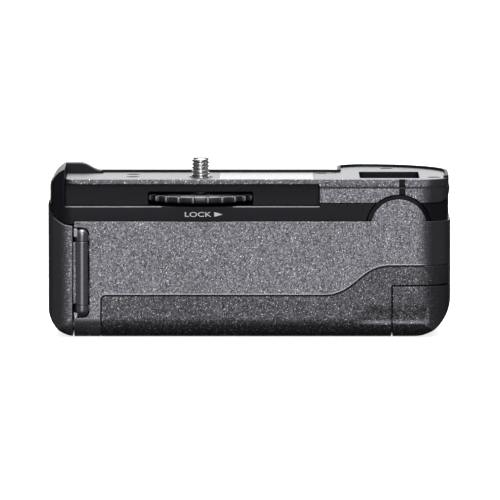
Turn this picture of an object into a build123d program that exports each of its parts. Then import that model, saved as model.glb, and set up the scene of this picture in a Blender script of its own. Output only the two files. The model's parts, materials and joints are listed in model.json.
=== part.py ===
"""Camera battery grip: a powered body that screws under a camera.

Millimetres. +Z is up, the rear looks to -Y and +X is to the right seen from the rear.
The origin is at the middle of the footprint, on the plane that the base rests on.
"""

import os
from math import asin, cos, radians, sin, sqrt

from build123d import *

os.makedirs("parts", exist_ok=True)

# Shell and clearances
wall = 2.4
gap = 0.4
slide_gap = 0.3
running_gap = 0.05
overrun = 1.0
least_corner = 0.8

# The eight cells and their magazine, which the body is built round
cell_radius = 7.1
cell_length = 50.5
cell_nub_radius = 2.7
cell_nub = 1.0
magazine_skin = 0.2
magazine_cap = 7.2
magazine_end = 2.0
magazine_chamfer = 4.5
spine = 1.2
link_thickness = 0.5
terminal_thickness = 0.5
terminal_width = 6.0
magazine_side = 4 * cell_radius + 2 * magazine_skin
magazine_length = magazine_cap + 2 * (cell_length + cell_nub) + 3 * link_thickness + magazine_end

# Battery chamber
chamber_wall = 0.8
chamber_low_z = 6.9
chamber_setback = 11.0
chamber_spare = 1.4
chamber_plate = 1.6
chamber_corner = 1.2
chamber_size = magazine_side + 2 * (chamber_wall + slide_gap)

# Levels of the top: plate, thumb recess and marked band
plate_thickness = 1.8
plate_drop = 1.0
recess_height = 7.4
band_height = 5.3
deck_thickness = 1.5
board_room = 6.4

# Overall sizes, from the chamber outwards
door_room = 4.5
switch_room = 21.8
shell_room = 3.0
bulge_reach = 24.9
bulge_width = 42.0
wheel_proud = 4.1
overall_width = door_room + magazine_length + switch_room
body_depth = chamber_size + 2 * shell_room
overall_depth = wheel_proud + body_depth + bulge_reach
deck_z = chamber_low_z + chamber_size + board_room
ledge_z = deck_z + deck_thickness
cover_top = ledge_z - band_height
frame_top = ledge_z + recess_height
seat_height = frame_top + plate_thickness

# Corner radii of the body: in plan, from behind and from the side
rear_left_radius = 8.7
rear_right_radius = 12.5
front_left_radius = 6.0
waist_radius = 8.0
waist_flat = 0.9
end_left_radius = 10.5
end_right_radius = 14.0
sole_rear_radius = 7.0
sole_front_radius = 5.0
bulge_radius = bulge_reach - waist_radius - waist_flat

# Places worked out from the overall sizes
half_width = overall_width / 2
rear_y = wheel_proud - overall_depth / 2
front_y = overall_depth / 2
left_front_y = rear_y + body_depth
bulge_x = half_width - bulge_width
chamber_y = (rear_y + left_front_y) / 2
chamber_z = chamber_low_z + chamber_size / 2
magazine_end_x = door_room - half_width
chamber_start_x = magazine_end_x + chamber_setback
chamber_end_x = magazine_end_x + magazine_length + chamber_spare

# Top frame
frame_inset = 0.7
frame_wall = 4.4
rail_width = 5.2
rail_rise = 3.9
rail_radius = 8.7
cheek_angle = 150.0
bump_depth = 6.5
bump_flat = 4.6
bump_slope = 8.0
lip_rise = 1.0
lip_width = 1.8
recess_depth = 7.0
recess_wall = 2.0
recess_length = 88.4
boss_radius = 3.2
rail_x = frame_inset + rail_width - half_width
recess_end_x = rail_x + recess_length
frame_front_y = left_front_y - frame_inset

# Top plate and seat pad
plate_rear_inset = 3.5
plate_side_inset = 0.6
plate_front_inset = 2.8
plate_bulge_inset = 1.6
plate_lip = 1.2
plate_lip_setback = 5.4
seat_finger_radius = 11.8
pad_width = 32.8
pad_depth = 27.6
pad_thickness = 0.6
pad_setback = 18.4
plate_y = rear_y + plate_rear_inset
plate_waist_x = bulge_x + plate_front_inset
seat_palm_radius = bulge_width - seat_finger_radius
pad_x = recess_end_x - pad_setback
pad_y = plate_y + overrun + pad_depth / 2

# Screws of the top plate: place from the recess's right end, and depth behind the plate's rear edge
plate_screw_places = [(-64.9, 11.5), (-64.9, 22.6), (0.6, 27.0), (23.9, 49.0), (39.9, 9.6)]
plate_screw_radius = 1.2
plate_screw_head = 2.3
plate_screw_length = 6.5
drive_depth = 0.7

# Upper trim, tongue and the index slot
trim_inset = 0.3
trim_thickness = 2.1
trim_height = 5.3
trim_end_radius = 4.5
tongue_radius = 9.8
tongue_setback = 18.2
tongue_drop = 2.1
groove_width = 1.6
index_slot_width = 1.9
index_slot_depth = 0.8
index_slot_height = 3.9
index_slot_offset = 1.2
trim_low_z = frame_top - plate_drop - trim_height
tongue_x = half_width - tongue_setback
tongue_z = cover_top - tongue_drop
index_slot_x = tongue_x + index_slot_offset
index_slot_z = frame_top - index_slot_height

# Tripod screw and lock wheel
thread_radius = 3.175
screw_rise = 6.8
screw_tip = 0.6
screw_neck = 2.6
screw_undercut = 0.4
screw_hole_radius = 4.2
screw_flange_radius = 5.2
screw_flange_height = 1.2
wheel_radius = 18.6
wheel_thickness = 2.4
wheel_rim_depth = 1.1
wheel_rib_count = 22
wheel_rib_width = 1.4
wheel_lift = 1.2
wheel_setback = 41.3
slot_room = 1.0
slot_height = 4.4
bush_radius = 5.0
clip_radius = 4.2
clip_thickness = 0.7
wheel_x = recess_end_x - wheel_setback
rib_angle = radians(180 / wheel_rib_count) - asin(wheel_rib_width / 2 / wheel_radius)
wheel_y = rear_y + wheel_radius * cos(rib_angle) - wheel_proud
wheel_low_z = ledge_z + wheel_lift
wheel_top_z = wheel_low_z + wheel_thickness
slot_width = 2 * (wheel_radius - slot_room / 2)

# Battery door and its hinge
door_width = 8.7
door_seam_drop = 1.5
door_arc_radius = 8.83
door_web = 1.6
hinge_offset = 3.2
hinge_depth = 0.6
barrel_radius = 2.2
barrel_lift = 0.5
barrel_drop = 2.4
knuckle_low = 4.0
knuckle_high = 4.4
hinge_pin_radius = 0.9
arm_thickness = 1.6
leaf_width = 1.2
leaf_thickness = 0.6
leaf_tall = 2.8
leaf_short = 1.4
door_seam_x = door_width - half_width
hinge_x = door_seam_x + hinge_offset
hinge_y = rear_y + hinge_depth
barrel_low_z = chamber_low_z + barrel_lift
barrel_top_z = cover_top - barrel_drop
knuckle_low_z = barrel_low_z + knuckle_low
knuckle_top_z = barrel_top_z - knuckle_high
seam_z = cover_top - door_seam_drop
arc_z = seam_z + door_arc_radius

# Door latch and pad
latch_offset = 9.9
latch_drop = 1.4
latch_width = 7.0
latch_height = 11.0
latch_thickness = 1.3
latch_travel = 3.0
latch_stem = 3.0
latch_keeper = 5.0
latch_keeper_thickness = 1.1
pad_foam = 1.5
foam_width = 14.0
foam_height = 18.0
foam_offset = 2.4
latch_y = chamber_y + latch_offset
latch_z = chamber_z - latch_drop
foam_y = chamber_y - foam_offset

# Contact well
well_width = 20.7
well_depth = 29.0
well_offset = 24.45
well_floor_drop = 4.4
well_wall = 1.2
well_corner = 1.5
well_setback = 5.0
contact_radius = 0.6
contact_rise = 1.1
contact_gap_x = 2.6
contact_gap_y = 6.0
contacts_across = 6
contacts_deep = 2
well_x = recess_end_x + well_offset
well_y = plate_y + well_setback + well_depth / 2
well_floor_z = frame_top - well_floor_drop

# Main board
board_thickness = 1.6
board_gap = 1.1
board_width = 33.2
board_depth = 40.0
board_offset_x = 0.75
board_offset_y = 7.9
board_screw_radius = 1.0
board_screw_head = 1.9
board_screw_setback = 2.2
board_boss_radius = 1.9
board_x = well_x - board_offset_x
board_y = well_y + board_offset_y
board_top_z = deck_z - board_gap
board_low_z = board_top_z - board_thickness

# Front and rear covers, grip covers and corner housing
parting_depth = 22.9
skin = 1.2
grip_setback = 9.6
grip_height = 14.9
grip_step_rise = 10.3
grip_step_width = 23.5
grip_step_gap = 0.5
grip_corner = 1.8
grip_reach = 9.0
housing_width = 20.3
housing_rear_z = 17.9
housing_front_z = 25.6
seam_gap = 0.3
palm_width = 36.0
palm_low_z = 6.0
palm_high_z = 36.0
palm_corner = 4.0
palm_setback = 4.1
rib_thickness = 1.6
rib_spacing = 22.0
rib_count = 5
rib_x = -8.0
parting_y = rear_y + parting_depth
housing_x = half_width - housing_width
grip_left_x = door_seam_x + grip_setback
grip_low_z = grip_height
grip_high_z = grip_height + grip_step_rise
grip_step_end_x = housing_x - grip_step_gap
grip_step_start_x = grip_step_end_x - grip_step_width
palm_left = half_width - palm_width
palm_rear_y = left_front_y - palm_setback

# Base plate and tripod socket
base_width = 34.0
base_depth = 21.0
base_thickness = 1.6
base_corner = 3.0
base_x = 0.0
base_offset = 3.4
base_margin = 4.0
socket_radius = 5.6
socket_depth = 5.5
socket_floor = 0.8
base_screw_radius = 1.0
base_screw_head = 2.0
base_screw_length = 4.0
base_y = chamber_y + base_offset
base_screw_across = base_width - 2 * base_margin
base_screw_along = base_depth - 2 * base_margin

# Portrait release at the right end
release_setback = 19.0
release_z = 14.6
release_facet_depth = 4.4
release_facet_radius = 9.0
collar_radius = 7.4
collar_height = 2.2
collar_lift = 0.3
collar_nub = 1.6
button_radius = 4.6
button_rise = 1.1
button_travel = 1.2
button_skirt = 2.0
stem_radius = 1.8
stem_length = 5.0
release_rim = 1.4
release_floor = 2.6
switch_width = 6.0
switch_height = 2.4
switch_board_width = 12.0
switch_board_height = 7.0
switch_board_thickness = 1.0
post_radius = 1.2
flex_width = 4.0
flex_thickness = 0.3
release_y = front_y - release_setback
release_facet_x = half_width - release_facet_depth


def plan_outline(
    left,
    right,
    rear,
    front,
    bulge_front,
    palm=bulge_radius,
    finger=bulge_radius,
    waist_corner=waist_radius,
):
    """Plan of the body, its sides moved in by the given amounts, with the bulge's corners full or sharp."""
    west = left - half_width
    east = half_width - right
    south = rear_y + rear
    waist = bulge_x + front
    places = [
        (west, south),
        (east, south),
        (east, front_y - bulge_front),
        (waist, front_y - bulge_front),
        (waist, left_front_y - front),
        (west, left_front_y - front),
    ]
    radii = [
        max(rear_left_radius - max(left, rear), least_corner),
        max(rear_right_radius - max(right, rear), least_corner),
        max(palm - max(right, bulge_front), least_corner),
        max(finger - max(front, bulge_front), least_corner),
        waist_corner + front,
        max(front_left_radius - max(left, front), least_corner),
    ]
    with BuildLine() as outline:
        FilletPolyline(*places, radius=radii, close=True)
    make_face(outline.edges())


def even_plan(inset):
    """Plan of the body with every side moved in alike."""
    plan_outline(inset, inset, inset, inset, inset)


def side_profile(low_left, low_right, inset, half_left, half_right):
    """An upright outline with its two lower corners rounded, as seen from behind or the side."""
    places = [
        (half_left, inset),
        (half_right, inset),
        (half_right, seat_height + overrun),
        (half_left, seat_height + overrun),
    ]
    radii = [low_left - inset, low_right - inset, 0, 0]
    with BuildLine() as outline:
        FilletPolyline(*places, radius=radii, close=True)
    make_face(outline.edges())


def body_block(inset):
    """The grip's outer form, rounded in plan, from behind and from the side."""
    with BuildPart() as block:
        with BuildSketch(Plane.XY):
            even_plan(inset)
        extrude(amount=seat_height)
        with BuildSketch(Plane.XZ):
            side_profile(end_left_radius, end_right_radius, inset, -half_width, half_width)
        extrude(amount=overall_depth, both=True, mode=Mode.INTERSECT)
        with BuildSketch(Plane.YZ):
            side_profile(sole_rear_radius, sole_front_radius, inset, rear_y, front_y)
        extrude(amount=overall_width, both=True, mode=Mode.INTERSECT)
    return block.part


def box_between(low, high, mode=Mode.ADD):
    """A box given by its low and high corners."""
    size = [high[axis] - low[axis] for axis in range(3)]
    centre = [(high[axis] + low[axis]) / 2 for axis in range(3)]
    with Locations(tuple(centre)):
        Box(*size, mode=mode)


def below_arc(radius):
    """What lies left of the door seam and under the arc that the door's top edge follows."""
    width = half_width + door_seam_x + overrun
    with Locations((door_seam_x - width / 2, arc_z / 2)):
        Rectangle(width, arc_z)
    with Locations((door_seam_x, arc_z)):
        Circle(radius, mode=Mode.SUBTRACT)


def save(piece, name):
    """Label a finished piece and write it as its own STEP file."""
    piece.part.label = name
    export_step(piece.part, f"parts/{name}.step")


outer = body_block(0)
inner = body_block(wall)
under_skin = body_block(skin)


# Lower rear grip cover: a skin let into the rear cover, its top edge stepping up in an S
with BuildPart() as rear_grip_cover:
    add(outer)
    add(under_skin, mode=Mode.SUBTRACT)
    with BuildSketch(Plane.XZ.offset(-rear_y - grip_reach)) as grip_face:
        with BuildLine():
            Polyline(
                (grip_step_start_x, grip_low_z),
                (grip_left_x, grip_low_z),
                (grip_left_x, -overrun),
                (half_width + overrun, -overrun),
                (half_width + overrun, grip_high_z),
                (grip_step_end_x, grip_high_z),
            )
            Spline(
                (grip_step_end_x, grip_high_z),
                (grip_step_start_x, grip_low_z),
                tangents=[(-1, 0), (-1, 0)],
            )
        make_face()
        fillet(grip_face.vertices().group_by(Axis.X)[0].sort_by(Axis.Y)[-1], grip_corner)
        with Locations((housing_x - seam_gap, -overrun)):
            Rectangle(
                half_width,
                housing_rear_z + seam_gap + overrun,
                align=(Align.MIN, Align.MIN),
                mode=Mode.SUBTRACT,
            )
    extrude(amount=overall_depth, mode=Mode.INTERSECT)
save(rear_grip_cover, "rear_grip_cover")

# Corner housing of the portrait release: the lower right corner of the shell, with its switch posts
stem_low_x = release_facet_x - release_floor - stem_length + button_skirt
switch_top_x = stem_low_x - button_travel - running_gap
switch_low_x = switch_top_x - switch_height
post_offset = (switch_board_width + switch_width) / 4
with BuildPart() as release_housing:
    add(outer)
    add(inner, mode=Mode.SUBTRACT)
    release_plane = Plane.YZ.offset(release_facet_x - release_floor)
    with BuildSketch(release_plane):
        with Locations((release_y, release_z)):
            Circle(release_facet_radius + release_rim)
    extrude(amount=half_width)
    add(outer, mode=Mode.INTERSECT)
    with BuildSketch(Plane.YZ):
        with BuildLine():
            Polyline(
                (rear_y - overrun, -overrun),
                (front_y + overrun, -overrun),
                (front_y + overrun, housing_front_z),
                (parting_y, housing_front_z),
                (parting_y, housing_rear_z),
                (rear_y - overrun, housing_rear_z),
                close=True,
            )
        make_face()
    extrude(amount=overall_width, mode=Mode.INTERSECT)
    box_between(
        (-half_width, rear_y - overrun, -overrun),
        (housing_x, front_y + overrun, seat_height),
        mode=Mode.SUBTRACT,
    )
    with BuildSketch(Plane.YZ.offset(release_facet_x)):
        with Locations((release_y, release_z)):
            Circle(release_facet_radius)
    extrude(amount=half_width, mode=Mode.SUBTRACT)
    with BuildSketch(release_plane):
        with Locations((release_y, release_z)):
            Circle(stem_radius + slide_gap)
    extrude(amount=release_floor, mode=Mode.SUBTRACT)
    with BuildSketch(Plane.YZ.offset(switch_low_x)):
        with Locations((release_y, release_z)):
            with GridLocations(2 * post_offset, 0, 2, 1):
                Circle(post_radius)
    extrude(amount=release_facet_x - release_floor - switch_low_x)
save(release_housing, "release_housing")

# Hand-grip rubber: a skin over the front of the bulge
with BuildPart() as hand_grip_rubber:
    add(outer)
    add(under_skin, mode=Mode.SUBTRACT)
    with BuildSketch(Plane.XZ) as palm_face:
        with Locations((palm_left, palm_low_z)):
            Rectangle(half_width, palm_high_z - palm_low_z, align=(Align.MIN, Align.MIN))
        fillet(palm_face.vertices().group_by(Axis.X)[0], palm_corner)
    extrude(amount=-overall_depth, mode=Mode.INTERSECT)
    box_between(
        (palm_left - overrun, palm_rear_y, palm_low_z - overrun),
        (half_width + overrun, front_y + overrun, palm_high_z + overrun),
        mode=Mode.INTERSECT,
    )
    box_between(
        (housing_x - seam_gap, rear_y, 0),
        (half_width + overrun, front_y + overrun, housing_front_z + seam_gap),
        mode=Mode.SUBTRACT,
    )
save(hand_grip_rubber, "hand_grip_rubber")

# Base plate, with a hole for the tripod socket
with BuildPart() as base_plate:
    with BuildSketch(Plane.XY):
        with Locations((base_x, base_y)):
            RectangleRounded(base_width, base_depth, base_corner)
            Circle(socket_radius, mode=Mode.SUBTRACT)
    extrude(amount=base_thickness)
    with Locations(Plane((base_x, base_y, 0), z_dir=(0, 0, -1))):
        with GridLocations(base_screw_across, base_screw_along, 2, 2):
            CounterSinkHole(base_screw_radius + running_gap, base_screw_head + running_gap)
save(base_plate, "base_plate")


def countersunk_screw(head, radius, length, depth):
    """One countersunk screw: its head flush with the plane, its shank going down from it."""
    Cone(head, radius, head - radius, align=(Align.CENTER, Align.CENTER, Align.MIN))
    Cylinder(radius, length, align=(Align.CENTER, Align.CENTER, Align.MIN))
    Cylinder(depth, depth, align=(Align.CENTER, Align.CENTER, Align.MIN), mode=Mode.SUBTRACT)


# Base screws
with BuildPart() as base_screws:
    with Locations(Plane((base_x, base_y, 0), z_dir=(0, 0, 1))):
        with GridLocations(base_screw_across, base_screw_along, 2, 2):
            countersunk_screw(base_screw_head, base_screw_radius, base_screw_length, drive_depth)
save(base_screws, "base_screws")

# Tripod socket: a threaded insert from below
with BuildPart() as tripod_socket:
    with BuildSketch(Plane.XY):
        with Locations((base_x, base_y)):
            Circle(socket_radius)
    extrude(amount=socket_depth + socket_floor)
    with BuildSketch(Plane.XY):
        with Locations((base_x, base_y)):
            Circle(thread_radius)
    extrude(amount=socket_depth, mode=Mode.SUBTRACT)
save(tripod_socket, "tripod_socket")


def chamber_ribs():
    """Ribs on the floor of the covers that carry the battery chamber."""
    with BuildSketch(Plane.XY.offset(wall)) as ribs:
        with Locations((rib_x, chamber_y)):
            with GridLocations(rib_spacing, overrun, rib_count, 1):
                Rectangle(rib_thickness, chamber_size - chamber_low_z)
    extrude(ribs.sketch, amount=chamber_low_z - wall)


def base_seat():
    """The seat of the base plate, its screws and the tripod socket."""
    with BuildSketch(Plane.XY) as pocket:
        with Locations((base_x, base_y)):
            RectangleRounded(base_width, base_depth, base_corner)
    extrude(pocket.sketch, amount=base_thickness, mode=Mode.SUBTRACT)
    with BuildSketch(Plane.XY) as holes:
        with Locations((base_x, base_y)):
            Circle(socket_radius)
            with GridLocations(base_screw_across, base_screw_along, 2, 2):
                Circle(base_screw_radius)
    extrude(holes.sketch, amount=chamber_low_z, mode=Mode.SUBTRACT)


def hinge_cylinder(radius, low_z, top_z, mode=Mode.ADD):
    """A round length of the door's hinge between two levels."""
    with BuildSketch(Plane.XY.offset(low_z)) as disc:
        with Locations((hinge_x, hinge_y)):
            Circle(radius)
    extrude(disc.sketch, amount=top_z - low_z, mode=mode)


# The two fixed knuckles, domed at their outer ends
dome_low_z = barrel_low_z + barrel_radius
dome_top_z = barrel_top_z - barrel_radius
with BuildPart() as fixed_knuckles:
    hinge_cylinder(barrel_radius, dome_low_z, knuckle_low_z)
    hinge_cylinder(barrel_radius, knuckle_top_z, dome_top_z)
    with Locations((hinge_x, hinge_y, dome_low_z), (hinge_x, hinge_y, dome_top_z)):
        Sphere(barrel_radius)
    hinge_cylinder(barrel_radius + overrun, knuckle_low_z, knuckle_top_z, mode=Mode.SUBTRACT)

# Rear cover: wall, sole and tongue, with the pocket and two knuckles of the door's hinge
pocket_end_x = hinge_x + barrel_radius + gap
with BuildPart() as rear_cover:
    add(outer)
    add(inner, mode=Mode.SUBTRACT)
    with BuildSketch(Plane.XZ.offset(-parting_y)):
        with Locations((door_seam_x + gap, 0)):
            Rectangle(overall_width, cover_top, align=(Align.MIN, Align.MIN))
        with Locations((tongue_x, tongue_z)):
            Circle(tongue_radius)
    extrude(amount=overall_depth, mode=Mode.INTERSECT)
    chamber_ribs()
    box_between(
        (-half_width, parting_y, 0),
        (half_width, front_y, seat_height),
        mode=Mode.SUBTRACT,
    )
    base_seat()
    add(rear_grip_cover.part, mode=Mode.SUBTRACT)
    box_between(
        (housing_x - seam_gap, rear_y - overrun, -overrun),
        (half_width + overrun, parting_y + overrun, housing_rear_z + seam_gap),
        mode=Mode.SUBTRACT,
    )
    with BuildSketch(Plane.XZ.offset(-rear_y - wall - overrun)) as pocket:
        with Locations((door_seam_x, barrel_low_z - gap)):
            Rectangle(
                pocket_end_x - door_seam_x,
                barrel_top_z - barrel_low_z + 2 * gap,
                align=(Align.MIN, Align.MIN),
            )
        fillet(pocket.vertices().group_by(Axis.X)[-1], barrel_radius + gap)
    extrude(amount=wall + 2 * overrun, mode=Mode.SUBTRACT)
    add(fixed_knuckles.part)
    for low_z, top_z in ((dome_low_z, knuckle_low_z), (knuckle_top_z, dome_top_z)):
        box_between(
            (hinge_x, hinge_y, low_z),
            (pocket_end_x + overrun, hinge_y + arm_thickness, top_z),
        )
    for low_z, leaf in ((barrel_low_z, leaf_short), (barrel_top_z - leaf_tall, leaf_tall)):
        box_between(
            (hinge_x - barrel_radius - leaf_width, hinge_y - barrel_radius, low_z),
            (hinge_x - barrel_radius + leaf_width / 2, hinge_y - hinge_pin_radius / 2, low_z + leaf),
            mode=Mode.SUBTRACT,
        )
    hinge_cylinder(hinge_pin_radius, barrel_low_z + gap, barrel_top_z - gap, mode=Mode.SUBTRACT)
save(rear_cover, "rear_cover")

# Hinge pin, held by the fixed knuckles
with BuildPart() as hinge_pin:
    hinge_cylinder(hinge_pin_radius, barrel_low_z + gap, barrel_top_z - gap)
save(hinge_pin, "hinge_pin")

# Two bright hinge leaves, let into the fixed knuckles
leaf_y = hinge_y - hinge_pin_radius / 2
with BuildPart() as hinge_leaves:
    for low_z, leaf in ((barrel_low_z, leaf_short), (barrel_top_z - leaf_tall, leaf_tall)):
        box_between(
            (hinge_x - barrel_radius + leaf_width / 2 - leaf_width, leaf_y - leaf_thickness, low_z),
            (hinge_x - barrel_radius + leaf_width / 2, leaf_y, low_z + leaf),
        )
save(hinge_leaves, "hinge_leaves")

# Front cover with the hand-grip bulge
with BuildPart() as front_cover:
    add(outer)
    add(inner, mode=Mode.SUBTRACT)
    chamber_ribs()
    box_between(
        (door_seam_x + gap, parting_y, -overrun),
        (half_width + overrun, front_y + overrun, cover_top),
        mode=Mode.INTERSECT,
    )
    base_seat()
    add(hand_grip_rubber.part, mode=Mode.SUBTRACT)
    box_between(
        (housing_x - seam_gap, parting_y - overrun, -overrun),
        (half_width + overrun, front_y + overrun, housing_front_z + seam_gap),
        mode=Mode.SUBTRACT,
    )
save(front_cover, "front_cover")

# Upper trim: a strip round the rear right, cut back round the tongue
with BuildPart() as upper_trim:
    with BuildSketch(Plane.XY.offset(trim_low_z)):
        even_plan(trim_inset)
    extrude(amount=trim_height)
    with BuildSketch(Plane.XY.offset(trim_low_z)):
        even_plan(trim_inset + trim_thickness)
    extrude(amount=seat_height, mode=Mode.SUBTRACT)
    with BuildSketch(Plane.XZ.offset(-parting_y)) as trim_face:
        with Locations((recess_end_x, trim_low_z)):
            Rectangle(
                half_width - trim_inset - recess_end_x,
                trim_height,
                align=(Align.MIN, Align.MIN),
            )
        fillet(trim_face.vertices().group_by(Axis.X)[-1].sort_by(Axis.Y)[0], trim_end_radius)
        with Locations((tongue_x, tongue_z)):
            Circle(tongue_radius + groove_width, mode=Mode.SUBTRACT)
    extrude(amount=overall_depth, mode=Mode.INTERSECT)
    box_between(
        (index_slot_x - index_slot_width / 2, rear_y - overrun, index_slot_z),
        (index_slot_x + index_slot_width / 2, rear_y + trim_inset + index_slot_depth, seat_height),
        mode=Mode.SUBTRACT,
    )
save(upper_trim, "upper_trim")

# The left cheek and the bump at the front of the top frame, cut to the body's plan
cheek_centre_x = frame_inset + rail_radius - half_width
cheek_centre_z = seat_height + rail_rise + overrun / 2 - rail_radius
cheek_top_z = cheek_centre_z + sqrt(rail_radius**2 - (cheek_centre_x - rail_x) ** 2)
cheek_foot_x = cheek_centre_x - sqrt(rail_radius**2 - (frame_top - cheek_centre_z) ** 2)
with BuildPart() as frame_wing:
    with BuildSketch(Plane.XZ):
        with BuildLine():
            Line((rail_x, cheek_top_z), (rail_x, frame_top))
            Line((rail_x, frame_top), (cheek_foot_x, frame_top))
            ThreePointArc(
                (cheek_foot_x, frame_top),
                (
                    cheek_centre_x + rail_radius * cos(radians(cheek_angle)),
                    cheek_centre_z + rail_radius * sin(radians(cheek_angle)),
                ),
                (rail_x, cheek_top_z),
            )
        make_face()
    extrude(amount=overall_depth, both=True)
    with BuildSketch(Plane.XZ.offset(bump_depth - frame_front_y)):
        with BuildLine():
            Polyline(
                (rail_x + bump_flat, cheek_top_z),
                (rail_x, cheek_top_z),
                (rail_x, frame_top),
                (rail_x + bump_flat + bump_slope, frame_top),
                (rail_x + bump_flat + bump_slope, seat_height + lip_rise),
            )
            Spline(
                (rail_x + bump_flat + bump_slope, seat_height + lip_rise),
                (rail_x + bump_flat, cheek_top_z),
                tangents=[(-1, 0), (-1, 0)],
            )
        make_face()
    extrude(amount=-overall_depth)
    with BuildSketch(Plane.XY.offset(frame_top)):
        even_plan(frame_inset)
    extrude(amount=seat_height, mode=Mode.INTERSECT)

# The plan-shaped cutter that lets the tongue and its groove into the frame
with BuildPart() as tongue_pocket:
    with BuildSketch(Plane.XY):
        even_plan(0)
    extrude(amount=seat_height)
    with BuildSketch(Plane.XY):
        even_plan(wall + gap)
    extrude(amount=seat_height, mode=Mode.SUBTRACT)
    with BuildSketch(Plane.XZ.offset(-parting_y)):
        with Locations((tongue_x, tongue_z)):
            Circle(tongue_radius + groove_width)
    extrude(amount=overall_depth, mode=Mode.INTERSECT)

screw_spots = [(recess_end_x + across, plate_y + depth) for across, depth in plate_screw_places]
board_screw_across = board_width / 2 - board_screw_setback
board_screw_along = board_depth / 2 - board_screw_setback
board_spots = [
    (board_x + side * board_screw_across, board_y + end * board_screw_along)
    for side in (-1, 1)
    for end in (-1, 1)
]

# Top frame: band, ledge, thumb recess, cheek, bump and the deck that carries the wheel
with BuildPart() as top_frame:
    with BuildSketch(Plane.XY.offset(seam_z)):
        even_plan(frame_inset)
    extrude(amount=frame_top - seam_z)
    box_between(
        (door_seam_x, rear_y - overrun, seam_z - overrun),
        (half_width + overrun, front_y + overrun, cover_top),
        mode=Mode.SUBTRACT,
    )
    with BuildSketch(Plane.XZ):
        below_arc(door_arc_radius - gap)
    extrude(amount=overall_depth, both=True, mode=Mode.SUBTRACT)
    with BuildSketch(Plane.XY.offset(cover_top)):
        plan_outline(
            door_seam_x + half_width + wall, frame_wall + frame_inset, frame_wall + frame_inset, wall, wall
        )
    extrude(amount=deck_z - cover_top, mode=Mode.SUBTRACT)
    with BuildSketch(Plane.XY.offset(ledge_z)):
        plan_outline(
            rail_x + half_width + recess_wall,
            frame_wall + frame_inset,
            recess_depth + recess_wall,
            frame_inset + wall,
            frame_inset + wall,
            palm=seat_palm_radius - lip_width,
            finger=seat_finger_radius,
            waist_corner=0,
        )
    extrude(amount=seat_height, mode=Mode.SUBTRACT)
    box_between(
        (rail_x, rear_y - overrun, ledge_z),
        (recess_end_x, rear_y + recess_depth, frame_top + overrun),
        mode=Mode.SUBTRACT,
    )
    with BuildSketch(Plane.XY.offset(deck_z)):
        with Locations(*screw_spots):
            Circle(boss_radius)
    extrude(amount=frame_top - deck_z)
    box_between(
        (wheel_x - slot_width / 2, rear_y, ledge_z),
        (wheel_x + slot_width / 2, rear_y + recess_depth + recess_wall + overrun, ledge_z + slot_height),
        mode=Mode.SUBTRACT,
    )
    add(frame_wing.part)
    box_between(
        (recess_end_x, rear_y - overrun, frame_top - plate_drop),
        (half_width + overrun, front_y + overrun, seat_height),
        mode=Mode.SUBTRACT,
    )
    box_between(
        (rail_x + bump_flat + bump_slope, frame_front_y - lip_width, frame_top - plate_drop),
        (bulge_x, frame_front_y, seat_height + lip_rise),
    )
    add(upper_trim.part, mode=Mode.SUBTRACT)
    add(tongue_pocket.part, mode=Mode.SUBTRACT)
    box_between(
        (index_slot_x - index_slot_width / 2, rear_y - overrun, index_slot_z),
        (index_slot_x + index_slot_width / 2, rear_y + trim_inset + index_slot_depth, seat_height),
        mode=Mode.SUBTRACT,
    )
    box_between(
        (
            well_x - well_width / 2 - well_wall,
            well_y - well_depth / 2 - well_wall,
            deck_z - overrun,
        ),
        (
            well_x + well_width / 2 + well_wall,
            well_y + well_depth / 2 + well_wall,
            seat_height,
        ),
        mode=Mode.SUBTRACT,
    )
    with BuildSketch(Plane.XY.offset(deck_z)):
        with Locations((wheel_x, wheel_y)):
            Circle(bush_radius)
        with Locations(*screw_spots):
            Circle(plate_screw_radius)
    extrude(amount=seat_height, mode=Mode.SUBTRACT)
    with BuildSketch(Plane.XY.offset(board_top_z)):
        with Locations(*board_spots):
            Circle(board_boss_radius)
    extrude(amount=board_gap)
    with BuildSketch(Plane.XY.offset(board_top_z)):
        with Locations(*board_spots):
            Circle(board_screw_radius)
    extrude(amount=board_gap + deck_thickness, mode=Mode.SUBTRACT)
save(top_frame, "top_frame")


def seat_plan(inset):
    """Plan of the top plate, fuller than the body at the palm's corner, its sides moved in by an amount."""
    plan_outline(
        rail_x + half_width + seam_gap + inset,
        plate_side_inset + inset,
        plate_rear_inset + inset,
        plate_front_inset + inset,
        plate_bulge_inset + inset,
        palm=seat_palm_radius,
        finger=seat_finger_radius,
        waist_corner=0,
    )


# The plate's raised lip, round the front and the right side of the bulge
with BuildPart() as seat_lip:
    with BuildSketch(Plane.XY.offset(seat_height)):
        seat_plan(0)
    extrude(amount=lip_rise)
    with BuildSketch(Plane.XY.offset(seat_height)):
        seat_plan(plate_lip)
    extrude(amount=lip_rise, mode=Mode.SUBTRACT)
    box_between(
        (plate_waist_x, plate_y + plate_lip_setback, seat_height),
        (half_width, front_y, seat_height + lip_rise),
        mode=Mode.INTERSECT,
    )

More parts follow.
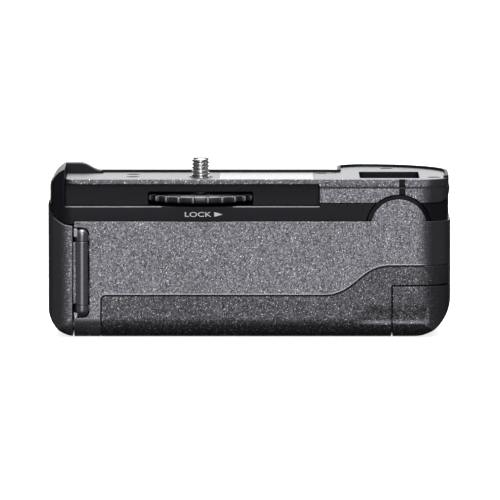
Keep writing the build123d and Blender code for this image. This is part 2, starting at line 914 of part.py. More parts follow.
# Top plate: the camera's seat
with BuildPart() as top_plate:
    with BuildSketch(Plane.XY.offset(frame_top - plate_drop)):
        seat_plan(0)
    extrude(amount=plate_drop + plate_thickness)
    add(seat_lip.part)
    box_between(
        (-half_width, rear_y, frame_top - plate_drop - overrun),
        (recess_end_x, front_y, frame_top),
        mode=Mode.SUBTRACT,
    )
    box_between(
        (-half_width, frame_front_y - bump_depth - seam_gap, frame_top - overrun),
        (rail_x + bump_flat + bump_slope + seam_gap, front_y, seat_height + overrun),
        mode=Mode.SUBTRACT,
    )
    with BuildSketch(Plane.XY.offset(seat_height - pad_thickness)):
        with Locations((pad_x, pad_y)):
            RectangleRounded(pad_width, pad_depth, least_corner)
    extrude(amount=pad_thickness, mode=Mode.SUBTRACT)
    with BuildSketch(Plane.XY.offset(ledge_z)):
        with Locations((wheel_x, wheel_y)):
            Circle(screw_hole_radius)
        with Locations((well_x, well_y)):
            RectangleRounded(well_width, well_depth, well_corner)
    extrude(amount=seat_height, mode=Mode.SUBTRACT)
    with Locations(*[(x, y, seat_height) for x, y in screw_spots]):
        CounterSinkHole(plate_screw_radius + running_gap, plate_screw_head + running_gap)
    box_between(
        (index_slot_x - index_slot_width / 2, rear_y, frame_top - plate_drop - overrun),
        (index_slot_x + index_slot_width / 2, plate_y + index_slot_depth, seat_height + overrun),
        mode=Mode.SUBTRACT,
    )
save(top_plate, "top_plate")

# Seat pad, let into the top plate
with BuildPart() as seat_pad:
    with BuildSketch(Plane.XY.offset(seat_height - pad_thickness)):
        with Locations((pad_x, pad_y)):
            RectangleRounded(pad_width, pad_depth, least_corner)
    extrude(amount=pad_thickness)
save(seat_pad, "seat_pad")

# Top plate screws
with BuildPart() as top_plate_screws:
    with Locations(*[Plane((x, y, seat_height), z_dir=(0, 0, -1)) for x, y in screw_spots]):
        countersunk_screw(plate_screw_head, plate_screw_radius, plate_screw_length, drive_depth)
save(top_plate_screws, "top_plate_screws")

# Contact block: a tray under the plate's window, its floor drilled for the pins
pin_tip_z = well_floor_z + contact_rise
with BuildPart() as contact_block:
    box_between(
        (
            well_x - well_width / 2 - well_wall,
            well_y - well_depth / 2 - well_wall,
            board_top_z,
        ),
        (
            well_x + well_width / 2 + well_wall,
            well_y + well_depth / 2 + well_wall,
            frame_top - plate_drop,
        ),
    )
    with BuildSketch(Plane.XY.offset(well_floor_z)):
        with Locations((well_x, well_y)):
            RectangleRounded(well_width, well_depth, well_corner)
    extrude(amount=seat_height, mode=Mode.SUBTRACT)
    with BuildSketch(Plane.XY.offset(board_top_z)):
        with Locations((well_x, well_y)):
            with GridLocations(contact_gap_x, contact_gap_y, contacts_across, contacts_deep):
                Circle(contact_radius)
    extrude(amount=seat_height, mode=Mode.SUBTRACT)
save(contact_block, "contact_block")

# Contact pins, from the board up through the block's floor
with BuildPart() as contact_pins:
    with BuildSketch(Plane.XY.offset(board_top_z)):
        with Locations((well_x, well_y)):
            with GridLocations(contact_gap_x, contact_gap_y, contacts_across, contacts_deep):
                Circle(contact_radius)
    extrude(amount=pin_tip_z - board_top_z)
save(contact_pins, "contact_pins")

# Main board under the deck
with BuildPart() as main_board:
    with BuildSketch(Plane.XY.offset(board_low_z)):
        with Locations((board_x, board_y)):
            Rectangle(board_width, board_depth)
        with Locations(*board_spots):
            Circle(board_screw_radius, mode=Mode.SUBTRACT)
    extrude(amount=board_thickness)
save(main_board, "main_board")

# Board screws, heads below the board
with BuildPart() as board_screws:
    with BuildSketch(Plane.XY.offset(board_low_z)):
        with Locations(*board_spots):
            Circle(board_screw_radius)
    extrude(amount=board_thickness + board_gap)
    with BuildSketch(Plane.XY.offset(board_low_z - board_screw_radius)):
        with Locations(*board_spots):
            Circle(board_screw_head)
    extrude(amount=board_screw_radius)
save(board_screws, "board_screws")


def wheel_disc(radius, low_z, top_z, mode=Mode.ADD):
    """A round length on the tripod screw's axis."""
    with BuildSketch(Plane.XY.offset(low_z)) as disc:
        with Locations((wheel_x, wheel_y)):
            Circle(radius)
    extrude(disc.sketch, amount=top_z - low_z, mode=mode)


# Wheel bush in the deck
with BuildPart() as wheel_bush:
    wheel_disc(bush_radius, deck_z, wheel_low_z)
    wheel_disc(screw_neck + running_gap, deck_z, wheel_low_z, mode=Mode.SUBTRACT)
save(wheel_bush, "wheel_bush")

# Lock wheel: a disc with ribs round its rim, a gap between two ribs facing the thumb
with BuildPart() as lock_wheel:
    wheel_disc(wheel_radius - wheel_rim_depth, wheel_low_z, wheel_top_z)
    with BuildSketch(Plane.XY.offset(wheel_low_z)):
        with Locations((wheel_x, wheel_y)):
            with PolarLocations(
                wheel_radius - wheel_rim_depth, wheel_rib_count, start_angle=180 / wheel_rib_count - 90
            ):
                Rectangle(2 * wheel_rim_depth, wheel_rib_width)
        with Locations((wheel_x, wheel_y)):
            Circle(wheel_radius - 2 * wheel_rim_depth, mode=Mode.SUBTRACT)
    extrude(amount=wheel_thickness)
    with BuildSketch(Plane.XY.offset(wheel_low_z)):
        with Locations((wheel_x, wheel_y)):
            Circle(wheel_radius)
    extrude(amount=wheel_thickness, mode=Mode.INTERSECT)
    wheel_disc(screw_neck, wheel_low_z, wheel_top_z, mode=Mode.SUBTRACT)
save(lock_wheel, "lock_wheel")

# Tripod screw: neck, drive flange and the threaded length, its crests as a plain cylinder
thread_low_z = seat_height - screw_undercut
screw_top_z = seat_height + screw_rise
neck_low_z = deck_z - 2 * clip_thickness
with BuildPart() as tripod_screw:
    wheel_disc(screw_neck, neck_low_z, screw_top_z)
    wheel_disc(screw_flange_radius, wheel_top_z, wheel_top_z + screw_flange_height)
    wheel_disc(thread_radius, thread_low_z, screw_top_z)
    chamfer(tripod_screw.faces().sort_by(Axis.Z)[-1].edges(), screw_tip)
save(tripod_screw, "tripod_screw")

# Retaining clip on the screw's lower end
clip_top_z = deck_z - clip_thickness / 2
with BuildPart() as screw_clip:
    wheel_disc(clip_radius, clip_top_z - clip_thickness, clip_top_z)
    wheel_disc(screw_neck, clip_top_z - clip_thickness, clip_top_z, mode=Mode.SUBTRACT)
save(screw_clip, "screw_clip")

# The hollow of the battery door, cut from its solid block
with BuildPart() as door_hollow:
    add(inner)
    with BuildSketch(Plane.XZ):
        below_arc(door_arc_radius + door_web)
    extrude(amount=overall_depth, both=True, mode=Mode.INTERSECT)

# Battery door: the left end of the body, with the middle knuckle and its arm
with BuildPart() as battery_door:
    add(outer)
    with BuildSketch(Plane.XZ):
        below_arc(door_arc_radius)
    extrude(amount=overall_depth, both=True, mode=Mode.INTERSECT)
    add(door_hollow.part, mode=Mode.SUBTRACT)
    hinge_cylinder(barrel_radius, knuckle_low_z + running_gap, knuckle_top_z - running_gap)
    box_between(
        (door_seam_x - overrun, hinge_y, knuckle_low_z + gap),
        (hinge_x, hinge_y + arm_thickness, knuckle_top_z - gap),
    )
    hinge_cylinder(hinge_pin_radius + running_gap, knuckle_low_z, knuckle_top_z, mode=Mode.SUBTRACT)
    box_between(
        (
            -half_width - overrun,
            latch_y - latch_width / 2 - slide_gap,
            latch_z - latch_height / 2 - slide_gap,
        ),
        (
            latch_thickness - half_width,
            latch_y + latch_width / 2 + slide_gap,
            latch_z + latch_height / 2 + latch_travel + slide_gap,
        ),
        mode=Mode.SUBTRACT,
    )
    box_between(
        (
            -half_width - overrun,
            latch_y - latch_stem / 2 - slide_gap,
            latch_z - latch_stem / 2 - slide_gap,
        ),
        (
            wall + overrun - half_width,
            latch_y + latch_stem / 2 + slide_gap,
            latch_z + latch_stem / 2 + latch_travel + slide_gap,
        ),
        mode=Mode.SUBTRACT,
    )
save(battery_door, "battery_door")

# Door latch: thumb plate, stem and inner keeper
door_wall_x = wall - half_width
with BuildPart() as door_latch:
    box_between(
        (-half_width, latch_y - latch_width / 2, latch_z - latch_height / 2),
        (
            latch_thickness - slide_gap - half_width,
            latch_y + latch_width / 2,
            latch_z + latch_height / 2,
        ),
    )
    box_between(
        (-half_width + overrun / 2, latch_y - latch_stem / 2, latch_z - latch_stem / 2),
        (door_wall_x + slide_gap, latch_y + latch_stem / 2, latch_z + latch_stem / 2),
    )
    box_between(
        (door_wall_x + slide_gap, latch_y - latch_keeper / 2, latch_z - latch_keeper),
        (
            door_wall_x + slide_gap + latch_keeper_thickness,
            latch_y + latch_keeper / 2,
            latch_z + latch_keeper,
        ),
    )
save(door_latch, "door_latch")

# Foam pad inside the door, which presses the magazine home
with BuildPart() as door_pad:
    with BuildSketch(Plane.YZ.offset(door_wall_x)):
        with Locations((foam_y, chamber_z)):
            RectangleRounded(foam_width, foam_height, least_corner)
    extrude(amount=pad_foam)
save(door_pad, "door_pad")

# Battery chamber: the tube that guides the magazine
with BuildPart() as battery_chamber:
    with BuildSketch(Plane.YZ.offset(chamber_start_x)):
        with Locations((chamber_y, chamber_z)):
            RectangleRounded(chamber_size, chamber_size, chamber_corner)
            RectangleRounded(
                chamber_size - 2 * chamber_wall,
                chamber_size - 2 * chamber_wall,
                chamber_corner - chamber_wall,
                mode=Mode.SUBTRACT,
            )
    extrude(amount=chamber_end_x - chamber_start_x)
save(battery_chamber, "battery_chamber")

# The chamber's end plate
with BuildPart() as chamber_plate_part:
    with BuildSketch(Plane.YZ.offset(chamber_end_x)):
        with Locations((chamber_y, chamber_z)):
            RectangleRounded(chamber_size, chamber_size, chamber_corner)
    extrude(amount=chamber_plate)
save(chamber_plate_part, "chamber_end_plate")

# Terminals of the chamber: strips from its end plate up to the board
row_offset = cell_radius + slide_gap / 4
with BuildPart() as chamber_terminals:
    for side in (-1, 1):
        low_y = chamber_y + side * row_offset - terminal_width / 2
        box_between(
            (chamber_end_x - terminal_thickness, low_y, chamber_z - row_offset),
            (chamber_end_x, low_y + terminal_width, chamber_z + row_offset),
        )
        box_between(
            (chamber_end_x + chamber_plate, low_y, chamber_z - row_offset),
            (
                chamber_end_x + chamber_plate + terminal_thickness,
                low_y + terminal_width,
                board_low_z,
            ),
        )
save(chamber_terminals, "chamber_terminals")

# Battery magazine: end cap, spines between the cells and far end
cell_start_x = magazine_end_x + magazine_cap + link_thickness
cell_pair_x = cell_start_x + cell_length + cell_nub + link_thickness
cells_end_x = cell_pair_x + cell_length + cell_nub
magazine_far_x = magazine_end_x + magazine_length
cell_rows = [
    (chamber_y + side * row_offset, chamber_z + level * row_offset)
    for side in (-1, 1)
    for level in (-1, 1)
]
with BuildPart() as magazine_frame:
    with BuildSketch(Plane.XY.offset(chamber_z - magazine_side / 2)) as cap_plan:
        with Locations((magazine_end_x, chamber_y)):
            Rectangle(magazine_cap, magazine_side, align=(Align.MIN, Align.CENTER))
        chamfer(cap_plan.vertices().group_by(Axis.X)[0], magazine_chamfer)
    extrude(amount=magazine_side)
    box_between(
        (magazine_far_x - magazine_end, chamber_y - magazine_side / 2, chamber_z - magazine_side / 2),
        (magazine_far_x, chamber_y + magazine_side / 2, chamber_z + magazine_side / 2),
    )
    for across, high in ((magazine_side, spine), (spine, magazine_side)):
        box_between(
            (magazine_end_x + magazine_cap, chamber_y - across / 2, chamber_z - high / 2),
            (magazine_far_x - magazine_end, chamber_y + across / 2, chamber_z + high / 2),
        )
    with BuildSketch(Plane.YZ.offset(magazine_end_x + magazine_cap)):
        with Locations(*cell_rows):
            Circle(cell_radius + running_gap)
    extrude(amount=magazine_far_x - magazine_end - magazine_end_x - magazine_cap, mode=Mode.SUBTRACT)
save(magazine_frame, "magazine_frame")

# Eight AA cells, in two rows of four, each with its nub
cell_number = 0
for start_x in (cell_start_x, cell_pair_x):
    for place in cell_rows:
        cell_number += 1
        with BuildPart() as aa_cell:
            with BuildSketch(Plane.YZ.offset(start_x)):
                with Locations(place):
                    Circle(cell_radius)
            extrude(amount=cell_length)
            fillet(aa_cell.edges().filter_by(GeomType.CIRCLE), cell_nub / 2)
            with BuildSketch(Plane.YZ.offset(start_x + cell_length)):
                with Locations(place):
                    Circle(cell_nub_radius)
            extrude(amount=cell_nub)
        save(aa_cell, f"aa_cell_{cell_number}")

# Links that join the cells at the ends and the middle of the magazine
with BuildPart() as magazine_links:
    for link_x in (cell_start_x - link_thickness, cell_pair_x - link_thickness, cells_end_x):
        with BuildSketch(Plane.YZ.offset(link_x)):
            with Locations(*cell_rows):
                Circle(cell_radius - link_thickness)
        extrude(amount=link_thickness)
save(magazine_links, "magazine_links")

# Magazine terminals: sprung strips on its far end
with BuildPart() as magazine_terminals:
    for side in (-1, 1):
        low_y = chamber_y + side * row_offset - terminal_width / 2
        box_between(
            (magazine_far_x, low_y, chamber_z - terminal_width / 2),
            (magazine_far_x + terminal_thickness, low_y + terminal_width, chamber_z + terminal_width / 2),
        )
save(magazine_terminals, "magazine_terminals")


def release_disc(radius, low_x, high_x, mode=Mode.ADD):
    """A round length on the portrait release's axis."""
    with BuildSketch(Plane.YZ.offset(low_x)) as disc:
        with Locations((release_y, release_z)):
            Circle(radius)
    extrude(disc.sketch, amount=high_x - low_x, mode=mode)


# Lock collar round the release button, with a finger nub
collar_low_x = release_facet_x + collar_lift
collar_high_x = collar_low_x + collar_height
with BuildPart() as release_collar:
    release_disc(collar_radius, collar_low_x, collar_high_x)
    release_disc(button_radius + slide_gap, collar_low_x, collar_high_x, mode=Mode.SUBTRACT)
    box_between(
        (collar_low_x, release_y - collar_nub / 2, release_z + collar_radius - collar_nub),
        (collar_high_x, release_y + collar_nub / 2, release_z + collar_radius + collar_nub / 2),
    )
save(release_collar, "release_collar")

# Release button and its stem
button_low_x = release_facet_x + button_travel + slide_gap
with BuildPart() as release_button:
    release_disc(button_radius, button_low_x, collar_high_x + button_rise)
    fillet(release_button.faces().sort_by(Axis.X)[-1].edges(), button_rise / 2)
    release_disc(stem_radius, stem_low_x, button_low_x)
save(release_button, "release_button")

# Release switch below the stem
with BuildPart() as release_switch:
    box_between(
        (switch_low_x, release_y - switch_width / 2, release_z - switch_width / 2),
        (switch_top_x, release_y + switch_width / 2, release_z + switch_width / 2),
    )
save(release_switch, "release_switch")

# Switch board, held on the housing's posts
with BuildPart() as switch_board:
    box_between(
        (
            switch_low_x - switch_board_thickness,
            release_y - switch_board_width / 2,
            release_z - switch_board_height / 2,
        ),
        (switch_low_x, release_y + switch_board_width / 2, release_z + switch_board_height / 2),
    )
save(switch_board, "switch_board")

# Flex from the switch board up to the main board
flex_x = switch_low_x - switch_board_thickness - flex_thickness
with BuildPart() as release_flex:
    box_between(
        (flex_x, release_y - flex_width / 2, release_z - switch_width / 2),
        (flex_x + flex_thickness, release_y + flex_width / 2, board_low_z),
    )
save(release_flex, "release_flex")
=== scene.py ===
# %% [markdown]
# # A camera battery grip
# The grip is a powered body that screws under a camera: a speckled shell, a ribbed lock wheel with
# a tripod screw, a hinged battery door and a release at its right end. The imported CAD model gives
# every size and place, so this script loads it first and only dresses it.

import json
import math

import bmesh
import bpy
import numpy as np
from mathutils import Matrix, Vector

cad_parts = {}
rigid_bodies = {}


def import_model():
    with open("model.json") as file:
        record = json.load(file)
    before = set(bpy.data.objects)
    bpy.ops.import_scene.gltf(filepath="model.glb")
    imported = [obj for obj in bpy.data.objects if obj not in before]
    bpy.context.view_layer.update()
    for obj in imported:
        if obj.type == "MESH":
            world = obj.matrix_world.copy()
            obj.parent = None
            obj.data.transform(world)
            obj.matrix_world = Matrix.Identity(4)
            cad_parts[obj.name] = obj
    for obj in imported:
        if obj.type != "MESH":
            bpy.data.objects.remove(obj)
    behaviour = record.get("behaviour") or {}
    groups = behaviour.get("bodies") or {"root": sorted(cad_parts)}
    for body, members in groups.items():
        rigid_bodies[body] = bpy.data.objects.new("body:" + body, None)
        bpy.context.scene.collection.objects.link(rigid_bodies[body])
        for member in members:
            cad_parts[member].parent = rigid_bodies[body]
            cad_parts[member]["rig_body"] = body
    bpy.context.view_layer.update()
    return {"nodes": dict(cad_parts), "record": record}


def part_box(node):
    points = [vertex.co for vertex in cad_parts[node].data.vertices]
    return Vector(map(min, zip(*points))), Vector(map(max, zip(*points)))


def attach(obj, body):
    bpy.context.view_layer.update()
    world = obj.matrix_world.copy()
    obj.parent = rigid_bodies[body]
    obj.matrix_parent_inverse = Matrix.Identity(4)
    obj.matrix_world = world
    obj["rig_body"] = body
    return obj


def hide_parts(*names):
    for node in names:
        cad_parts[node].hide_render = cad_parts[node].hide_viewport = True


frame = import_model()
nodes = frame["nodes"]
slot_of = {row["node"]: row["material_slot"] for row in frame["record"]["subparts"]}
MM = 0.001

# %% [markdown]
# ## Meshes from grids
# A new piece is a surface worked out with numpy. Its points lie on a grid of rows and columns, so
# one function can join any such grid into four-sided faces. Rows that shrink to one point are
# welded afterwards, which closes a pole, and the faces are turned to point outwards.

# %% Grid helpers
weld_gap = 0.002


def shown(name, data):
    """A new object at the origin that holds the data, put into the scene."""
    holder = bpy.data.objects.new(name, data)
    bpy.context.scene.collection.objects.link(holder)
    return holder


def grid_faces(rows, columns):
    """Faces of a grid stored row by row, closed round its columns: point (i, j) joins its next ones."""
    i, j = np.meshgrid(np.arange(rows - 1), np.arange(columns), indexing="ij")
    over = (j + 1) % columns
    corners = [i * columns + j, i * columns + over, (i + 1) * columns + over, (i + 1) * columns + j]
    return np.stack(corners, -1).reshape(-1, 4)


def finish_mesh(name, points, faces, crease=40.0):
    """Welds doubled points, turns the faces outwards and smooths below the crease angle."""
    mesh = bpy.data.meshes.new(name)
    mesh.from_pydata(points.tolist(), [], faces.tolist())
    work = bmesh.new()
    work.from_mesh(mesh)
    bmesh.ops.remove_doubles(work, verts=work.verts, dist=weld_gap * MM)
    bmesh.ops.recalc_face_normals(work, faces=work.faces)
    work.to_mesh(mesh)
    work.free()
    mesh.shade_smooth()
    mesh.set_sharp_from_angle(angle=math.radians(crease))
    return shown(name, mesh)


print("points closer than", weld_gap, "mm are welded")

# %% [markdown]
# ## Turned shapes and soft steps
# The wheel, the button and its collar are turned: a profile goes round an axis. A knurl or a rib is
# then only a wobble of the radius with the angle. A soft step, level at both ends, fades such
# forms in and out without a kink.

# %% Turning and stepping helpers


def full_turn(steps):
    """Evenly spaced angles once round, the last one short of the first."""
    return np.linspace(0, 2 * np.pi, steps, endpoint=False)


def turned(radii, heights, steps, centre, wobble=0.0, axis="z"):
    """A turned shape: at angle t the profile point is (radius + wobble) * (cos t, sin t), height."""
    angle = full_turn(steps)
    reach = np.broadcast_to(np.asarray(radii)[:, None] + wobble, (len(radii), steps))
    level = np.broadcast_to(np.asarray(heights)[:, None], reach.shape)
    across, along = reach * np.cos(angle), reach * np.sin(angle)
    order = (across, along, level) if axis == "z" else (level, across, along)
    points = np.stack([part + start for part, start in zip(order, centre)], -1)
    return points.reshape(-1, 3) * MM, grid_faces(len(radii), steps)


def smooth_step(low, high, value):
    """0 below low, 1 above high, and 3s^2 - 2s^3 of the share s between them."""
    share = np.clip((value - low) / (high - low), 0, 1)
    return share * share * (3 - 2 * share)


quarters = np.array([0.25, 0.5, 0.75])
print("a soft step at a quarter, half and three quarters:", smooth_step(0, 1, quarters))

# %% [markdown]
# ## Plastics
# The shell is sprayed with a hard speckle: grey grains about a third of a millimetre wide, some
# of them glinting. An image could show that, but a pattern worked out from the object's own
# coordinates has no seams and works at any distance. Fine noise gives the grains, cells with a
# random value pick the few bright ones, and both feed the bump so that light breaks on them.

# %% Node helpers


def new_material(name):
    """An empty node material: returns it, its tree and its main shader."""
    material = bpy.data.materials.new(name)
    material.use_nodes = True
    tree = material.node_tree
    return material, tree, tree.nodes["Principled BSDF"]


def feed(tree, socket, value):
    """Links a value that is a socket, and otherwise sets it."""
    if isinstance(value, bpy.types.NodeSocket):
        tree.links.new(value, socket)
    else:
        socket.default_value = value


def add(tree, kind, inputs=(), **settings):
    """A node of a kind, with its settings, its input values and the links that feed it."""
    made = tree.nodes.new(kind)
    for name, value in settings.items():
        setattr(made, name, value)
    for key, value in dict(inputs).items():
        feed(tree, made.inputs[key], value)
    return made


def calc(tree, operation, first, second):
    """One sum, product, difference or maximum of two values."""
    return add(tree, "ShaderNodeMath", {0: first, 1: second}, operation=operation).outputs[0]


def ramp(tree, value, low, high, first=0.0, last=1.0):
    """The value carried from the range low..high to first..last, and held there."""
    return add(tree, "ShaderNodeMapRange", {"Value": value, "From Min": low, "From Max": high,
                                            "To Min": first, "To Max": last}).outputs[0]


def grey(value, tint=(0.0, 0.0)):
    """A grey whose red and blue are raised by the two shares of the tint."""
    return (value * (1 + tint[0]), value, value * (1 + tint[1]), 1)


def mixed(tree, factor, first, second):
    """A colour mix: the first colour where the factor is 0, the second where it is 1."""
    made = add(tree, "ShaderNodeMix", data_type="RGBA")
    for socket, value in ((0, factor), (6, first), (7, second)):
        feed(tree, made.inputs[socket], value)
    return made.outputs[2]


print("a bluish grey of 0.2:", [round(part, 3) for part in grey(0.2, (0.04, 0.12))])

# %% [markdown]
# ## One recipe for every moulded finish
# Speckle, rubber, satin plastic and foam differ only in numbers: two tones, the size of a grain,
# the roughness, the depth of the bump and the share of bright flecks. So one function makes them
# all. Round both rounded ends of the shell the finish fades to one darker smooth tone and the
# speckle dies out: painted shade where the ends turn away from the light.

# %% Grained finishes
# Painted shade at the door's rounded left end fades in between these two places in mm.
left_shade_fade = (-61.0, -66.0)
tone_span, middle_span = (0.38, 0.64), (0.3, 0.7)
drift_scale, drift_share, rough_spread, bump_strength = 60.0, 0.2, 0.06, 0.7


def tilted(tree, cells, amount, depth, height):
    """A normal leaned by a cell's own random colour, then roughened by a bump of the given height."""
    centred = add(tree, "ShaderNodeVectorMath", {0: cells.outputs["Color"], 1: (0.5, 0.5, 0.5)},
                  operation="SUBTRACT")
    lean = add(tree, "ShaderNodeVectorMath", {0: centred.outputs[0], 3: amount}, operation="SCALE")
    surface = add(tree, "ShaderNodeNewGeometry").outputs["Normal"]
    leaned = add(tree, "ShaderNodeVectorMath", {0: surface, 1: lean.outputs[0]}, operation="ADD")
    even = add(tree, "ShaderNodeVectorMath", {0: leaned.outputs[0]}, operation="NORMALIZE")
    return add(tree, "ShaderNodeBump", {"Height": height, "Distance": depth * MM,
                                        "Strength": bump_strength, "Normal": even.outputs[0]}).outputs[0]


def grained(name, dark, light, grain, rough, depth, fleck=0.0, glint=0.8, lean=0.0, metallic=0.0,
            tint=(0.04, 0.12), ends=None, level=0.5):
    """A finish whose tone goes from dark to light with a noise of the grain's size in mm.

    A slow noise takes it back towards dark by up to a fifth, and the share fleck of the cells is
    mixed with the glint's tone. Where ends gives a tone and two places in mm, the finish fades to
    that darker tone between them towards the right end, and likewise at the left end of the door:
    painted shade on the rounded ends."""
    material, tree, shade = new_material(name)
    where = add(tree, "ShaderNodeTexCoord").outputs["Object"]
    fine = add(tree, "ShaderNodeTexNoise", {"Vector": where, "Scale": 1.1 / (grain * MM),
                                            "Detail": 2.0, "Roughness": 0.6}).outputs["Fac"]
    slow = add(tree, "ShaderNodeTexNoise", {"Vector": where, "Scale": drift_scale, "Detail": 2.0})
    cells = add(tree, "ShaderNodeTexVoronoi", {"Vector": where, "Scale": 0.9 / (grain * MM)})
    colour = mixed(tree, ramp(tree, fine, *tone_span), grey(dark, tint), grey(light, tint))
    drift = ramp(tree, slow.outputs["Fac"], *middle_span, 0.0, drift_share)
    colour = mixed(tree, drift, colour, grey(dark, tint))
    if fleck:
        pick = add(tree, "ShaderNodeSeparateColor", {"Color": cells.outputs["Color"]}).outputs[0]
        bright = calc(tree, "MULTIPLY", ramp(tree, pick, 1 - fleck, 1 - 0.3 * fleck),
                      ramp(tree, cells.outputs["Distance"], 0.6, 0.3))
        colour = mixed(tree, bright, colour, grey(glint))
    # Painted shade: towards both rounded ends the colour fades to a darker smooth tone.
    if ends:
        tone, start, stop = ends
        along = add(tree, "ShaderNodeSeparateXYZ", {"Vector": where}).outputs[0]
        smooth = calc(tree, "MAXIMUM", ramp(tree, along, left_shade_fade[0] * MM, left_shade_fade[1] * MM),
                      ramp(tree, along, start * MM, stop * MM))
        colour = mixed(tree, smooth, colour, grey(tone, tint))
        lean = ramp(tree, smooth, 0.0, 1.0, lean, 0.1 * lean)
    height = calc(tree, "SUBTRACT", fine, cells.outputs["Distance"])
    feed(tree, shade.inputs["Base Color"], colour)
    spread = ramp(tree, fine, *middle_span, rough - rough_spread, rough + rough_spread)
    feed(tree, shade.inputs["Roughness"], spread)
    feed(tree, shade.inputs["Normal"], tilted(tree, cells, lean, depth, height))
    shade.inputs["Metallic"].default_value = metallic
    shade.inputs["Specular IOR Level"].default_value = level
    return material


print("the speckle dies out over", left_shade_fade, "mm at the left")

# %% [markdown]
# ## The finishes
# The tones come from comparing renders with the photo. The seat's metal and its pad look far paler
# in it than they are, because at a low angle they mirror the bright wall. Some rolled edges and the
# crests of the wheel's ribs carry a painted highlight, lighter than the plastic that they belong to.

# %% Table of finishes
# ends: the tone of the painted shade on the rounded right end, and where it fades in, in mm.
speckle = dict(grain=0.32, rough=0.4, depth=0.04, fleck=0.16, glint=1.0, lean=0.35, metallic=0.75,
               ends=(0.085, 58.5, 63.5), level=0.3)
looks = {
    "speckled_plastic": dict(dark=0.14, light=0.25, **speckle),
    "edge_speckle": dict(dark=0.1, light=0.19, **speckle),
    "smooth_plastic": dict(dark=0.007, light=0.011, grain=0.3, rough=0.38, depth=0.03,
                           tint=(0.0, 0.4), level=0.14),
    # The rubber's ends entry is painted shade on its rounded right end as well.
    "grip_rubber": dict(dark=0.06, light=0.135, grain=0.34, rough=0.42, depth=0.05, fleck=0.2,
                        glint=0.7, lean=0.38, metallic=0.75, ends=(0.06, 61.0, 66.0), level=0.3),
    "palm_rubber": dict(dark=0.012, light=0.028, grain=0.9, rough=0.6, depth=0.2),
    "seat_metal": dict(dark=0.06, light=0.085, grain=0.2, rough=0.42, depth=0.002, metallic=0.3,
                       tint=(0.0, 0.03)),
    "pad_gloss": dict(dark=0.2, light=0.24, grain=0.3, rough=0.3, depth=0.0005, tint=(0.0, 0.02)),
    "button_gloss": dict(dark=0.02, light=0.026, grain=0.3, rough=0.1, depth=0.0003),
    "wheel_plastic": dict(dark=0.016, light=0.03, grain=0.2, rough=0.32, depth=0.004),
    # Painted highlight on the ribs' crests.
    "painted_rib_highlight": dict(dark=0.2, light=0.26, grain=0.2, rough=0.3, depth=0.002),
    "barrel_plastic": dict(dark=0.18, light=0.22, grain=0.3, rough=0.3, depth=0.003, metallic=0.8),
    # Painted highlight on rolled edges, and painted shade on the tripod screw's end.
    "painted_edge_light_shade": dict(dark=0.12, light=0.16, grain=0.2, rough=0.3, depth=0.002),
    # inner_plastic also serves as painted shade on lips, wells, holes, the slot, the seam and the trim.
    "inner_plastic": dict(dark=0.004, light=0.007, grain=0.4, rough=0.5, depth=0.02,
                          tint=(0.0, 0.3), level=0.15),
    # Painted highlight: the seam's bead and the hinge leaves.
    "painted_pale_highlight": dict(dark=0.36, light=0.44, grain=0.2, rough=0.4, depth=0.002),
    "black_screw": dict(dark=0.006, light=0.012, grain=0.15, rough=0.5, depth=0.008, level=0.15),
    "foam": dict(dark=0.02, light=0.05, grain=0.5, rough=0.85, depth=0.3),
    "circuit_board": dict(dark=0.02, light=0.05, grain=1.2, rough=0.35, depth=0.02),
    "flex_film": dict(dark=0.1, light=0.2, grain=0.8, rough=0.3, depth=0.01, tint=(0.5, -0.5)),
    "cell_can": dict(dark=0.012, light=0.02, grain=0.6, rough=0.3, depth=0.003, tint=(-0.15, 0.15)),
    "marking": dict(dark=0.75, light=0.85, grain=0.12, rough=0.5, depth=0.002, tint=(0.0, 0.0)),
}
finishes = {name: grained(name, **look) for name, look in looks.items()}
print(len(finishes), "grained finishes")

# %% [markdown]
# ## Metals
# The tripod screw is turned steel, bright with fine rings, and the contacts are plated brass.
# Real turned metal is never one grey: stretching a noise along the rings gives the lathe's marks in
# the tone, the roughness and the bump.

# %% Metals
ring_stretch = (1.0, 1.0, 8.0)


def turned_metal(name, colour, ring, rough):
    """A machined metal: a noise of the ring's size in mm, flat along Z, drives tone, roughness, bump."""
    material, tree, shade = new_material(name)
    where = add(tree, "ShaderNodeTexCoord").outputs["Object"]
    pressed = add(tree, "ShaderNodeMapping", {"Vector": where, "Scale": ring_stretch}).outputs[0]
    marks = add(tree, "ShaderNodeTexNoise", {"Vector": pressed, "Scale": 1 / (ring * MM),
                                             "Detail": 3.0}).outputs["Fac"]
    pale = tuple(min(1.0, part * 1.15) for part in colour) + (1,)
    deep = tuple(part * 0.8 for part in colour) + (1,)
    bump = add(tree, "ShaderNodeBump", {"Height": marks, "Distance": 0.01 * MM, "Strength": 0.5})
    feed(tree, shade.inputs["Base Color"], mixed(tree, marks, deep, pale))
    feed(tree, shade.inputs["Roughness"], ramp(tree, marks, 0.0, 1.0, rough - 0.08, rough + 0.1))
    feed(tree, shade.inputs["Normal"], bump.outputs[0])
    shade.inputs["Metallic"].default_value = 1.0
    return material


finishes["bright_steel"] = turned_metal("bright_steel", (0.62, 0.61, 0.6), 1.5, 0.24)
finishes["brass"] = turned_metal("brass", (0.78, 0.58, 0.26), 1.0, 0.28)
print(len(finishes), "finishes")

# %% [markdown]
# ## Rounded copies of the moulded parts
# The CAD solids have knife edges. Moulded plastic has small rounded edges, and those catch the
# light as the fine bright lines that show where one part ends. Each visible part is therefore
# copied, its loose triangles are welded, its flat areas are joined, and every sharp edge is rolled
# over by a fraction of a millimetre. Weighted normals keep the flats flat.

# %% Rounding helper
cad_weld, flat_angle, sharp_angle, crease_angle = 0.004, 0.6, 32.0, 50.0


def points_of(mesh):
    """The mesh's points in metres, one row of x, y and z for each."""
    points = np.empty(len(mesh.vertices) * 3)
    mesh.vertices.foreach_get("co", points)
    return points.reshape(-1, 3)


